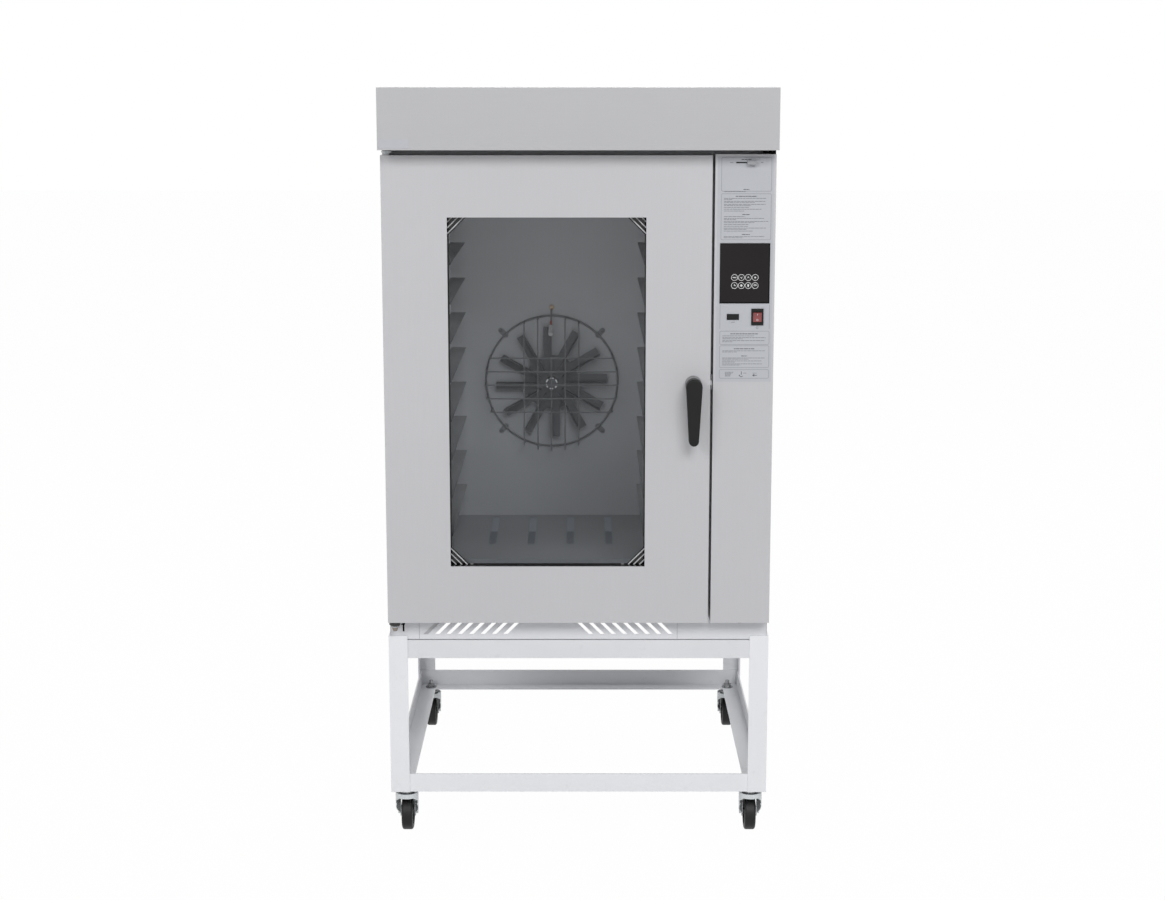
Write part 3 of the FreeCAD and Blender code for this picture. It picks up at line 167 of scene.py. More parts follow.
def surface(name, colour, rough, metallic=0.0, vary=0.05, patch=20.0, grain=900.0, stretch=EVEN,
            bump=0.04, specular=0.5, scuff=0.0):
    """Plain finish with soft patches, uneven gloss, a fine grain and scattered scuffs."""
    s = Shader(name)
    soft = s.noise(s.place(), patch)
    fine = s.noise(s.place(stretch), grain, detail=2.0)
    worn = s.noise(s.place(), patch * SCUFF_SCALE, detail=6.0, roughness=0.7)
    tone = s.mix(s.remap(soft, 0.0, 1.0), shade(colour, 1 - vary), shade(colour, 1 + vary))
    speck = s.mix(s.remap(fine, 0.0, SPECK_SHARE), tone, shade(colour, 1 - SPECK_DEPTH * vary))
    marked = s.mix(s.remap(worn, 0.0, 1.0, SCUFF_START, SCUFF_FULL), speck, shade(colour, 1 - scuff))
    s.link(marked, s.bsdf.inputs["Base Color"])
    s.link(s.remap(fine, rough - GLOSS_SWING, rough + GLOSS_SWING), s.bsdf.inputs["Roughness"])
    s.bump(fine, bump)
    s.bsdf.inputs["Metallic"].default_value = metallic
    s.bsdf.inputs["Specular IOR Level"].default_value = specular
    return s


def banded(name, axis, bands, rough, metallic):
    """Finish that changes along one object axis: bands of (start, colour), highest first."""
    s = Shader(name)
    grain = s.noise(s.place(), BAND_GRAIN)
    colour = bands[-1][1]
    for start, tone in reversed(bands[:-1]):
        colour = s.mix(s.beyond(axis, start), colour, tone)
    speck = s.mix(s.remap(grain, 0.0, BAND_SPECK), colour, BAND_SPECK_GREY)
    s.link(speck, s.bsdf.inputs["Base Color"])
    s.link(s.remap(grain, rough - BAND_GLOSS_SWING, rough + BAND_GLOSS_SWING), s.bsdf.inputs["Roughness"])
    s.bsdf.inputs["Metallic"].default_value = metallic
    s.bump(grain, BAND_BUMP)
    return s


def glass(name, tint, ior):
    """Tinted pane: see-through, with a mirror gloss that grows towards grazing angles."""
    s = Shader(name)
    haze = s.noise(s.place(), HAZE_SCALE)
    clear = s.add("ShaderNodeBsdfTransparent")
    tinted = s.mix(s.remap(haze, 0.0, 1.0), shade(tint, 1 - HAZE_SWING), shade(tint, 1 + HAZE_SWING))
    s.link(tinted, clear.inputs["Color"])
    gloss = s.add("ShaderNodeBsdfGlossy")
    gloss.inputs["Color"].default_value = WHITE
    s.link(s.remap(haze, *PANE_ROUGH), gloss.inputs["Roughness"])
    edge = s.add("ShaderNodeFresnel")
    edge.inputs["IOR"].default_value = ior
    both = s.add("ShaderNodeMixShader")
    s.link(edge.outputs[0], both.inputs[0])
    s.link(clear.outputs[0], both.inputs[1])
    s.link(gloss.outputs[0], both.inputs[2])
    s.link(both.outputs[0], s.output.inputs["Surface"])
    s.tree.nodes.remove(s.bsdf)
    return s


def printed(name, r, g, b):
    return surface(name, srgb(r, g, b), 0.55, vary=0.04, patch=60, grain=1500, bump=0.02)


# sheet metal, stand and casters
sheet_steel = surface("sheet_steel", srgb(196, 196, 199), 0.45, 0.05, vary=0.02, patch=1.5, grain=500,
                      stretch=UPRIGHT, bump=0.02, scuff=0.015)
hood_steel = surface("hood_steel", srgb(184, 184, 186), 0.42, 0.1, vary=0.02, patch=1.5, grain=500,
                     stretch=ALONG, bump=0.02, scuff=0.015)
roof_steel = surface("roof_steel", srgb(184, 184, 186), 0.60, vary=0.03, patch=1.5, grain=500,
                     stretch=ALONG, bump=0.02, specular=0.2, scuff=0.03)
# painted light: the plinth takes a paler copy of the sheet steel, against the door's shadow on it
lit_plinth_steel = surface("lit_plinth_steel", srgb(222, 223, 227), 0.42, 0.1, vary=0.02, patch=1.5, grain=500,
                       stretch=ALONG, bump=0.02, scuff=0.03)
# the upper rails take a darker copy of the stand paint: painted shade, as under the oven
stand_paint, shaded_rail_paint = (
    surface(name, colour, 0.45, vary=0.02, patch=5, grain=350, bump=0.06, scuff=0.05)
    for name, colour in (("stand_paint", srgb(238, 239, 242)), ("shaded_rail_paint", srgb(225, 226, 229))))
zinc_sheet = surface("zinc_sheet", srgb(168, 170, 172), 0.45, 0.5, vary=0.09, patch=14, grain=120)
bright_zinc = surface("bright_zinc", srgb(186, 190, 192), 0.32, 0.45, patch=22, grain=700, scuff=0.10)
fork_zinc = surface("fork_zinc", srgb(212, 216, 218), 0.34, 0.35, patch=22, grain=700, scuff=0.10)
stem_zinc = surface("stem_zinc", srgb(158, 159, 160), 0.25, 0.85, vary=0.08, patch=30, grain=700)
tyre_rubber = surface("tyre_rubber", srgb(21, 21, 22), 0.48, vary=0.12, patch=40, grain=700, bump=0.15,
                      specular=0.3, scuff=-0.35)
hub_plastic = surface("hub_plastic", srgb(58, 58, 60), 0.50, vary=0.10, patch=35, bump=0.12)

# oven chamber, with side walls painted paler than the same steel at the back (painted light) and tray guides
# painted darker towards the door (painted shade)
liner_steel, chamber_steel_lit_walls = (
    surface(name, srgb(149, 149, 150), 0.60, vary=0.015, patch=3, grain=420, stretch=UPRIGHT)
    for name in ("liner_steel", "chamber_steel_lit_walls"))
WALL_SKIN, WALL_EDGE = 2, 3
# painted light: the side walls are painted paler than the same steel at the back
for wall, inward in zip(box("cavity_liner"), (1, -1)):
    chamber_steel_lit_walls.fade("X", wall.x + WALL_SKIN * inward, wall.x + WALL_EDGE * inward, srgb(204, 204, 205))
GUIDE_SHADE_DEEPEST, GUIDE_SHADE_END = -420, 150
guide_steel_and_shade = surface("guide_steel_and_shade", srgb(152, 152, 152), 0.70, vary=0.03, patch=9, grain=420, stretch=ALONG,
                      specular=0.2, scuff=0.06)
# painted shade: the guides darken towards the door, where the cavity lamp lights them most
guide_steel_and_shade.fade("Y", GUIDE_SHADE_DEEPEST, GUIDE_SHADE_END, srgb(78, 78, 79))
# painted light: the guide posts are painted paler than the chamber steel, to show out of the shade between
# the guides
lit_post_steel = surface("lit_post_steel", srgb(176, 165, 161), 0.70, vary=0.04, patch=9, grain=420, specular=0.2)
floor_steel = surface("floor_steel", srgb(138, 138, 139), 0.65, vary=0.03, patch=7, grain=420,
                      stretch=UPRIGHT, scuff=0.06)
# painted light and shade: a lit and a shaded copy of the heat-shield steel
shield_lit_copy = surface("shield_lit_copy", srgb(148, 153, 158), 0.60, vary=0.04, patch=9, grain=420)
shield_shaded_copy = surface("shield_shaded_copy", srgb(106, 110, 116), 0.60, vary=0.04, patch=9, grain=420)
fan_steel = surface("fan_steel", srgb(95, 95, 96), 0.65, vary=0.06, patch=18, grain=300, bump=0.06,
                    specular=0.2)
guard_wire = surface("guard_wire", srgb(110, 110, 110), 0.60, vary=0.06, patch=30, grain=500, specular=0.2)
wool = surface("mineral_wool", srgb(196, 184, 138), 0.90, vary=0.18, patch=25, grain=260, bump=0.6)
motor_paint = surface("motor_paint", srgb(72, 76, 80), 0.45, vary=0.08, patch=16, grain=500, bump=0.08)
PROBE_GLAND, PROBE_STEM, PROBE_COLLAR = 310, 259, 236
probe_coat = banded("probe_coat", "Y", [
    (PROBE_GLAND, srgb(138, 114, 86)), (PROBE_STEM, srgb(120, 116, 114)),
    (PROBE_COLLAR, srgb(150, 84, 76)), (0, srgb(176, 174, 172))], 0.40, 0.1)

# door, hinge and handle
wire_steel = surface("wire_steel", srgb(205, 206, 208), 0.25, 0.5, vary=0.04, patch=30, grain=500)
boss_steel = surface("boss_steel", srgb(128, 127, 130), 0.35, 0.3, patch=40)
black_paint = surface("black_paint", srgb(9, 9, 10), 0.22, vary=0.20, patch=12, bump=0.03)
black_rubber = surface("black_rubber", srgb(26, 26, 27), 0.65, vary=0.15, patch=30, bump=0.2)
black_plastic = surface("black_plastic", srgb(25, 26, 25), 0.50, vary=0.10, grain=1600, bump=0.15,
                        specular=0.2)
window_glass = glass("window_glass", srgb(245, 246, 247), 1.16)
HINGE_ARM, HINGE_CUP = 599.5, 596.5
GUSSET_LEFT, HINGE_PLATE_FRONT, HINGE_PLATE_LIT = -470.0, -464.0, -440.0
# painted shade: the arm's band is dark where it lies under the door; the cup, the cone and the gusset keep
# their own colours
hinge_colours_light_and_shade = banded("hinge_colours_light_and_shade", "Z", [
    (HINGE_ARM, srgb(46, 45, 47)), (HINGE_CUP, srgb(196, 202, 209)), (0, srgb(146, 137, 129))], 0.34, 0.2)
hinge_colours_light_and_shade.paint_beyond("X", GUSSET_LEFT, srgb(186, 190, 195))
# painted shade: the hinge plate behind the plinth is painted near black where it lies in shade
hinge_colours_light_and_shade.paint_beyond("Y", HINGE_PLATE_FRONT, srgb(24, 24, 25))
# painted light: the plate's part behind the first vent slot is painted near white against the shade there
hinge_colours_light_and_shade.paint_beyond("X", HINGE_PLATE_LIT, srgb(240, 240, 241))

# control column
FILM = box("control_overlay")[0].y
DAMPER_SHADE_FROM = 0.7
badge_metal = surface("badge_metal", srgb(184, 185, 191), 0.45, 0.1, vary=0.03, patch=25, stretch=ALONG)
overlay_film = surface("overlay_film", srgb(186, 188, 194), 0.55, vary=0.02, patch=6, bump=0.05)
black_glass = surface("black_glass", srgb(37, 34, 35), 0.30, vary=0.06, patch=9, grain=1200, bump=0.01,
                      specular=0.12)
# near-black for painted shade: the panel's edge, the slot beside the lower hinge and the block under the
# hood's corner
shade_black = surface("shade_black", srgb(6, 5, 5), 0.60, vary=0.20, patch=40, bump=0.02, specular=0.05)
red_plastic = surface("red_plastic", srgb(140, 72, 73), 0.30, vary=0.06, patch=40, grain=1500)
damper_steel_and_shade = surface("damper_steel_and_shade", srgb(152, 153, 156), 0.42, 0.25, vary=0.04, patch=60, stretch=ALONG)
# painted shade: the slider's parts behind the overlay's plane are painted black, as in the slot's shade
damper_steel_and_shade.paint_beyond("Y", FILM + DAMPER_SHADE_FROM, srgb(6, 6, 6))
print_grey = printed("print_grey", 118, 120, 125)
print_dark = printed("print_dark", 84, 85, 90)
print_line = printed("print_line", 152, 154, 160)
print_pale = printed("print_pale", 205, 206, 209)
print_white = printed("print_white", 226, 226, 226)
pad_grey = printed("pad_grey", 120, 120, 122)

FINISH = {
    "stand_legs": stand_paint, "stand_upper_rails": shaded_rail_paint, "stand_lower_rails": stand_paint,
    "caster_stems": stem_zinc, "side_panel_left": sheet_steel, "side_panel_right": sheet_steel,
    "top_panel": roof_steel, "rear_panel": sheet_steel, "base_pan": zinc_sheet,
    "front_frame": sheet_steel, "plinth_ends": lit_plinth_steel, "plinth_vent": lit_plinth_steel,
    "hood": hood_steel, "badge_plate": badge_metal, "control_column": sheet_steel,
    "control_overlay": overlay_film, "display_panel": black_glass, "port_cover": black_plastic,
    "switch_bezel": black_plastic, "switch_rocker": red_plastic, "damper_slider": damper_steel_and_shade,
    "column_grommet": black_rubber, "flue_collar": zinc_sheet, "cavity_liner": chamber_steel_lit_walls,
    "insulation": wool, "floor_plate": floor_steel, "tray_guides": guide_steel_and_shade,
    "guide_posts": lit_post_steel, "burner": zinc_sheet, "gas_pipe": bright_zinc,
    "cable_gland": black_plastic, "fan_motor": motor_paint, "fan_shaft": fan_steel,
    "fan_impeller": fan_steel, "fan_guard": guard_wire, "temperature_probe": probe_coat,
    "hinge_bottom": hinge_colours_light_and_shade, "hinge_top": bright_zinc, "latch_keeper": bright_zinc,
    "door_outer": sheet_steel, "door_inner": liner_steel, "door_glass_outer": window_glass,
    "door_glass_inner": window_glass, "window_frame": black_paint, "door_seal": black_rubber,
    "handle_boss": boss_steel, "handle_lever": black_plastic, "latch_spindle": wire_steel,
}
for corner in ("fl", "fr", "rl", "rr"):
    FINISH[f"caster_fork_{corner}"] = fork_zinc
    FINISH[f"caster_tyre_{corner}"] = tyre_rubber
    FINISH[f"caster_hub_{corner}"] = hub_plastic

for name, finish in FINISH.items():
    mesh = nodes[name].data
    mesh.materials.clear()
    mesh.materials.append(finish.material)


# small pieces that ride on the frame

class Piece:
    """Collects simple closed solids, in millimetres, into one mesh."""

    def __init__(self):
        self.points = []
        self.faces = []

    def prism(self, outline, back, front, place=None):
        """Closed XZ outline (counter-clockwise from the front) between two Y levels."""
        count = len(outline)
        start = len(self.points)
        for level in (back, front):
            for x, z in outline:
                spot = Vector((x, level, z))
                self.points.append(place @ spot if place else spot)
        self.faces.append(tuple(start + count + i for i in range(count)))
        self.faces.append(tuple(start + i for i in reversed(range(count))))
        for i in range(count):
            j = (i + 1) % count
            self.faces.append((start + i, start + j, start + count + j, start + count + i))

    def bar(self, left, low, right, high, back, front, place=None):
        self.prism([(left, low), (right, low), (right, high), (left, high)], back, front, place)

    def band(self, outer, inner, back, front, place=None, closed=True):
        """Strip between two XZ outlines with the same number of points."""
        count = len(outer)
        for i in range(count if closed else count - 1):
            j = (i + 1) % count
            self.prism([outer[i], outer[j], inner[j], inner[i]], back, front, place)

    def build(self, name, finish, body):
        mesh = bpy.data.meshes.new(name)
        mesh.from_pydata([p * MM for p in self.points], [], self.faces)
        mesh.materials.append(finish.material)
        mesh.validate()
        mesh.update()
        item = bpy.data.objects.new(name, mesh)
        scene.collection.objects.link(item)
        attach(item, body)


CORNER_STEPS = 4


def arc(x, z, radius, start=0.0, end=360.0, steps=24):
    whole = abs(end - start) >= 360
    count = steps if whole else steps + 1
    turns = [math.radians(start + (end - start) * i / steps) for i in range(count)]
    return [(x + radius * math.cos(turn), z + radius * math.sin(turn)) for turn in turns]


def rounded(left, low, right, high, radius):
    spots = []
    for x, z, start in ((right - radius, low + radius, 270), (right - radius, high - radius, 0),
                        (left + radius, high - radius, 90), (left + radius, low + radius, 180)):
        spots += arc(x, z, radius, start, start + 90, CORNER_STEPS)
    return spots


# overlay print: label frames, headings and rows of plain bars

INK_RISE = 0.12
INK = FILM - INK_RISE
overlay_low, overlay_high = box("control_overlay")
PRINT_TOP = overlay_high.z
LABEL_INSET = (9.0, 5.5)
LABEL_LEFT = overlay_low.x + LABEL_INSET[0]
LABEL_RIGHT = overlay_high.x - LABEL_INSET[1]
LABEL_MIDDLE = (LABEL_LEFT + LABEL_RIGHT) / 2
LABEL_RADIUS = (4, 3)
LINE = 1.3
TEXT_INSET = (7.5, 7.0)
TEXT_LEFT = LABEL_LEFT + TEXT_INSET[0]
TEXT_WIDE = LABEL_RIGHT - TEXT_INSET[1] - TEXT_LEFT
HEADING_HIGH = 1.9
ROW_HIGH = 1.3
BAR_LONG = (4, 11)
BAR_GAP = 1.1
BAR_LEAST = 1
# filled share of a lone line, of the first of two lines, and of the second
LONE_LINE, FIRST_LINE, SECOND_LINE = (0.45, 0.9), (0.9, 1.0), (0.15, 0.7)

# drop of each label frame's top below the overlay's top, and the frame's height
LABELS = ((1.5, 86), (92.5, 117.5), (442, 35.5), (479.5, 57.5), (541, 24))
SWITCH_FIELD = (375, 62)
# drop of a heading below the overlay's top, its width, and the lines in each entry under it
PARAGRAPHS = (
    (82.5, 15, (1,)),
    (99.5, 54, (2, 2, 2, 1, 1, 1)), (145.5, 19, (1, 2, 2, 1, 1, 2, 1)), (196, 20, (2,)),
    (449.5, 72, (1, 2, 2)), (488, 53, (2,)), (506.5, 15, (2, 2, 2)),
)
HEADING_GAP = 5.2
ENTRY_GAP = 4.6
LINE_GAP = 3.0

lines = Piece()
for drop, height in LABELS:
    high = PRINT_TOP - drop
    low = high - height
    lines.band(rounded(LABEL_LEFT, low, LABEL_RIGHT, high, LABEL_RADIUS[0]),
               rounded(LABEL_LEFT + LINE, low + LINE, LABEL_RIGHT - LINE, high - LINE, LABEL_RADIUS[1]),
               FILM, INK)
for left in (LABEL_LEFT, LABEL_RIGHT - LINE):
    high = PRINT_TOP - SWITCH_FIELD[0]
    lines.bar(left, high - SWITCH_FIELD[1], left + LINE, high, FILM, INK)
lines.build("overlay_lines", print_line, "oven")


def print_row(piece, left, right, z, high):
    """A row of plain bars of uneven length."""
    x = left
    while x < right - BAR_LEAST:
        wide = min(rng.uniform(*BAR_LONG), right - x)
        piece.bar(x, z - high / 2, x + wide, z + high / 2, FILM, INK)
        x += wide + BAR_GAP


def centred_row(piece, x, z, half, high=ROW_HIGH):
    print_row(piece, x - half, x + half, z, high)


headings = Piece()
rows = Piece()
for drop, width, entries in PARAGRAPHS:
    z = PRINT_TOP - drop
    centred_row(headings, LABEL_MIDDLE, z, width / 2, HEADING_HIGH)
    z -= HEADING_GAP
    for count in entries:
        filled = rng.uniform(*(FIRST_LINE if count == 2 else LONE_LINE))
        print_row(rows, TEXT_LEFT, TEXT_LEFT + TEXT_WIDE * filled, z, ROW_HIGH)
        if count == 2:
            z -= LINE_GAP
            print_row(rows, TEXT_LEFT, TEXT_LEFT + TEXT_WIDE * rng.uniform(*SECOND_LINE), z, ROW_HIGH)
        z -= ENTRY_GAP

# damper heading with a short bar at each end of the slot
DAMPER_HEADING_DROP, DAMPER_HEADING_HALF = 7.5, 13.5
DAMPER_END_DROP, DAMPER_END_HALF = 15, 4
DAMPER_END_INSET = (25.5, 24.5)
centred_row(headings, LABEL_MIDDLE, PRINT_TOP - DAMPER_HEADING_DROP, DAMPER_HEADING_HALF, HEADING_HIGH)
for x in (LABEL_LEFT + DAMPER_END_INSET[0], LABEL_RIGHT - DAMPER_END_INSET[1]):
    centred_row(rows, x, PRINT_TOP - DAMPER_END_DROP, DAMPER_END_HALF)

# bars under the port and a ring under the switch
PORT_ROW_DROP = 13.5
ROW_HALF = 5
SWITCH_RING_DROP, SWITCH_RING_OUTER, SWITCH_RING_INNER = 27.5, 3.0, 1.9
port = middle("port_cover")
switch = middle("switch_bezel")
centred_row(rows, port.x, port.z - PORT_ROW_DROP, ROW_HALF)
z = switch.z - SWITCH_RING_DROP
rows.band(arc(switch.x, z, SWITCH_RING_OUTER), arc(switch.x, z, SWITCH_RING_INNER), FILM, INK)

# lowest label: a block of short rows, a turn arrow and a pointer
FOOT_Z = PRINT_TOP - 556.5
BLOCK_LEFT, BLOCK_RIGHT, BLOCK_SLANT = TEXT_LEFT + 7.5, TEXT_LEFT + 25, 2
BLOCK_Z, BLOCK_PITCH = FOOT_Z + 3, 2.5
for step in range(-2, 3):
    print_row(rows, BLOCK_LEFT, BLOCK_RIGHT + BLOCK_SLANT * step, BLOCK_Z + BLOCK_PITCH * step, ROW_HIGH)
TURN_X = TEXT_LEFT + 49.5
TURN_OUTER, TURN_INNER = 4.6, 3.0
TURN_SWEEP = (200, 340, 10)
TURN_HEAD = ((-6.5, -1.5), (-2.5, -2.5), (-5, 2.5))
STEM_HALF = 0.8
STEM_LOW, STEM_HIGH = FOOT_Z + 1.5, FOOT_Z + 10
headings.band(arc(TURN_X, FOOT_Z, TURN_OUTER, *TURN_SWEEP), arc(TURN_X, FOOT_Z, TURN_INNER, *TURN_SWEEP),
              FILM, INK, closed=False)
headings.prism([(TURN_X + x, FOOT_Z + z) for x, z in TURN_HEAD], FILM, INK)
headings.bar(TURN_X - STEM_HALF, STEM_LOW, TURN_X + STEM_HALF, STEM_HIGH, FILM, INK)
POINTER_X = TEXT_LEFT + 77.5
POINTER_HEAD, POINTER_HALF, POINTER_LONG = 5.5, 3.7, 12
neck = POINTER_X + POINTER_HEAD
headings.prism([(POINTER_X, FOOT_Z), (neck, FOOT_Z - POINTER_HALF), (neck, FOOT_Z + POINTER_HALF)], FILM, INK)
headings.bar(neck, FOOT_Z - STEM_HALF, POINTER_X + POINTER_LONG, FOOT_Z + STEM_HALF, FILM, INK)
FOOT_ROW_RISE = 5.6
FOOT_ROWS = (TURN_X + 9.5, POINTER_X + 6)
for x in FOOT_ROWS:
    centred_row(rows, x, FOOT_Z + FOOT_ROW_RISE, ROW_HALF)
headings.build("overlay_headings", print_dark, "oven")
rows.build("overlay_rows", print_grey, "oven")

# touch icons: two rows of four rings with plain generic signs

screen, screen_high = box("display_panel")
SCREEN = screen.y
SIGN = SCREEN - INK_RISE
SIGN_LAYER = 0.05
SIGN_OVER = SIGN - SIGN_LAYER
RING_OUTER, RING_INNER = 8.4, 7.3
ICON_COLUMNS, ICON_PITCH = 4, 17.6
ICON_LEFT = 37.3
ICON_RISE = (66, 45.5)
ICON_X = [screen.x + ICON_LEFT + ICON_PITCH * column for column in range(ICON_COLUMNS)]
ICON_Z = [screen.z + rise for rise in ICON_RISE]

rings = Piece()
fields = Piece()
for x in ICON_X:
    for z in ICON_Z:
        rings.band(arc(x, z, RING_OUTER), arc(x, z, RING_INNER), SCREEN, SIGN)
        fields.prism(arc(x, z, RING_INNER), SCREEN, SCREEN - INK_RISE / 2)
rings.build("icon_rings", print_white, "oven")
fields.build("icon_fields", black_paint, "oven")

CHEVRON_HALF, CHEVRON_FOOT, CHEVRON_NOTCH, CHEVRON_TIP = 3.6, -2.4, 0.4, 3.2
DASH_HALF, DASH_THICK = 4.6, 1.0
HAND_HALF, HAND_LONG, HAND_SHORT = 0.7, 4.0, 3.6
DIAMOND = 3.6
BULB, BULB_RISE = 2.5, 1.0
BULB_FOOT = (1.2, -3.8, -1.0)
DOT = 2.2
WAVE_RADII, WAVE_HALF, WAVE_DROP = (1.9, 4.2), 0.6, 1.6
WAVE_SWEEP = (20, 160, 8)


def chevron(x, z, up):
    """Arrow head that points up (1) or down (-1), listed counter-clockwise."""
    spots = [(x - CHEVRON_HALF, z + CHEVRON_FOOT * up), (x, z + CHEVRON_NOTCH * up),
             (x + CHEVRON_HALF, z + CHEVRON_FOOT * up), (x, z + CHEVRON_TIP * up)]
    return spots[::up]


signs = Piece()
upper, lower = ICON_Z
# first column: dash and clock hands
x = ICON_X[0]
signs.bar(x - DASH_HALF, upper - DASH_THICK, x + DASH_HALF, upper + DASH_THICK, SCREEN, SIGN)
signs.bar(x - HAND_HALF, lower, x + HAND_HALF, lower + HAND_LONG, SCREEN, SIGN)
signs.bar(x - HAND_HALF, lower - HAND_HALF, x + HAND_SHORT, lower + HAND_HALF, SCREEN, SIGN_OVER)
# second column: down and diamond
x = ICON_X[1]
signs.prism(chevron(x, upper, -1), SCREEN, SIGN)
signs.prism(arc(x, lower, DIAMOND, steps=4), SCREEN, SIGN)
# third column: up and lamp
x = ICON_X[2]
signs.prism(chevron(x, upper, 1), SCREEN, SIGN)
signs.prism(arc(x, lower + BULB_RISE, BULB), SCREEN, SIGN)
foot_half, foot_low, foot_high = BULB_FOOT
signs.bar(x - foot_half, lower + foot_low, x + foot_half, lower + foot_high, SCREEN, SIGN_OVER)
# fourth column: dot and waves
x = ICON_X[3]
signs.prism(arc(x, upper, DOT), SCREEN, SIGN)
for radius in WAVE_RADII:
    outer, inner = (arc(x, lower - WAVE_DROP, radius + grow, *WAVE_SWEEP) for grow in (WAVE_HALF, -WAVE_HALF))
    signs.band(outer, inner, SCREEN, SIGN, closed=False)
signs.build("icon_signs", print_white, "oven")

# painted shade: dark edge round the panel, broad at the right and below where the bevel falls into shade

BROAD, THIN = 2.4, 0.9
edge = Piece()
edge.bar(screen.x, screen.z, screen_high.x, screen.z + BROAD, SCREEN, SIGN)
edge.bar(screen_high.x - BROAD, screen.z + BROAD, screen_high.x, screen_high.z, SCREEN, SIGN)
edge.bar(screen.x, screen.z + BROAD, screen.x + THIN, screen_high.z, SCREEN, SIGN)
edge.bar(screen.x + THIN, screen_high.z - THIN, screen_high.x - BROAD, screen_high.z, SCREEN, SIGN)
edge.build("display_edge_shade", shade_black, "oven")

# on and off marks on the rocker's two faces

ROCKER_TILT = math.radians(8)
ROCKER_DIP = 3.0
FACE_SLOPE = math.atan2(2.1, 12.0)
MARK_RISE = 0.15
STROKE_HALF, STROKE_LOW, STROKE_HIGH = 0.7, 5.0, 9.5
RING_Z, RING_RADII = -7.2, (2.5, 1.5)
column_front = box("control_column")[0].y
pivot = Matrix.Translation((switch.x, column_front, switch.z)) @ Matrix.Rotation(ROCKER_TILT, 4, "X")
crest = pivot @ Matrix.Translation((0, -ROCKER_DIP, 0))
marks = Piece()
marks.bar(-STROKE_HALF, STROKE_LOW, STROKE_HALF, STROKE_HIGH, 0, -MARK_RISE,
          crest @ Matrix.Rotation(FACE_SLOPE, 4, "X"))
marks.band(*(arc(0, RING_Z, radius) for radius in RING_RADII), 0, -MARK_RISE,
           crest @ Matrix.Rotation(-FACE_SLOPE, 4, "X"))
marks.build("rocker_marks", print_pale, "rocker")

# dark corners of the pane, each with three pale diagonal stripes

pane_low, pane_high = box("door_glass_outer")
GLASS_LAP = 14.0
PANE = pane_low.y
PAINT_RISE = 0.10
BORDER = PANE - PAINT_RISE
STRIPE = PANE - 2 * PAINT_RISE
CORNER_TIP, CORNER = 1.0, 48.0
STRIPES = (12.5, 27.5, 42.0)
STRIPE_HALF = 1.9
SIDE_BORDER = 2.6
left, right = pane_low.x + GLASS_LAP, pane_high.x - GLASS_LAP
low, high = pane_low.z + GLASS_LAP, pane_high.z - GLASS_LAP
corners = Piece()
stripes = Piece()


def diagonal(x, z, toward, up, near, far):
    """Strip across a corner between two distances along its edges, listed counter-clockwise."""
    spots = [(x + toward * near, z), (x + toward * far, z), (x, z + up * far), (x, z + up * near)]
    return spots if toward * up > 0 else spots[::-1]


for x, z, toward, up in ((left, high, 1, -1), (right, high, -1, -1), (left, low, 1, 1), (right, low, -1, 1)):
    corners.prism(diagonal(x, z, toward, up, CORNER_TIP, CORNER), PANE, BORDER)
    for reach in STRIPES:
        strip = diagonal(x, z, toward, up, reach - STRIPE_HALF, reach + STRIPE_HALF)
        stripes.prism(strip, PANE, STRIPE)
corners.bar(left, low, left + SIDE_BORDER, high, PANE, BORDER)
corners.bar(right - SIDE_BORDER, low, right, high, PANE, BORDER)
corners.bar(left, low, right, low + SIDE_BORDER, PANE, BORDER)
corners.build("pane_corners", black_paint, "door")
stripes.build("pane_stripes", print_pale, "door")

# setting pads under the pane

PAD_INSET = (54, 57)
PAD_HALF, PAD_LOW, PAD_HIGH, PAD_RADIUS, PAD_REACH = 4, 0.2, 3.4, 1, 2.5
pads = Piece()
for x in (left + PAD_INSET[0], right - PAD_INSET[1]):
    pads.prism(rounded(x - PAD_HALF, low + PAD_LOW, x + PAD_HALF, low + PAD_HIGH, PAD_RADIUS),
               PANE, PANE - PAD_REACH)
pads.build("pane_pads", pad_grey, "door")

# bright marks round the fan hub

fan = middle("fan_impeller")
HUB_FRONT = box("fan_shaft")[0].y
hub_marks = Piece()
HUB_MARKS = 6
MARK_OUTER, MARK_INNER = 17.4, 14.2
MARK_START, MARK_SWEEP = 10, 36
MARK_STEPS = 5
MARK_THICK = 1
for step in range(HUB_MARKS):
    start = 360 / HUB_MARKS * step + MARK_START
    outer, inner = (arc(fan.x, fan.z, radius, start, start + MARK_SWEEP, MARK_STEPS)
                    for radius in (MARK_OUTER, MARK_INNER))
    hub_marks.band(outer, inner, HUB_FRONT, HUB_FRONT - MARK_THICK, closed=False)
hub_marks.build("fan_hub_marks", print_white, "fan")

# heat-shield strips close under the floor slots, one sheet in two copies: a darker one in front (painted
# shade) and a paler one under the rear ramp (painted light)

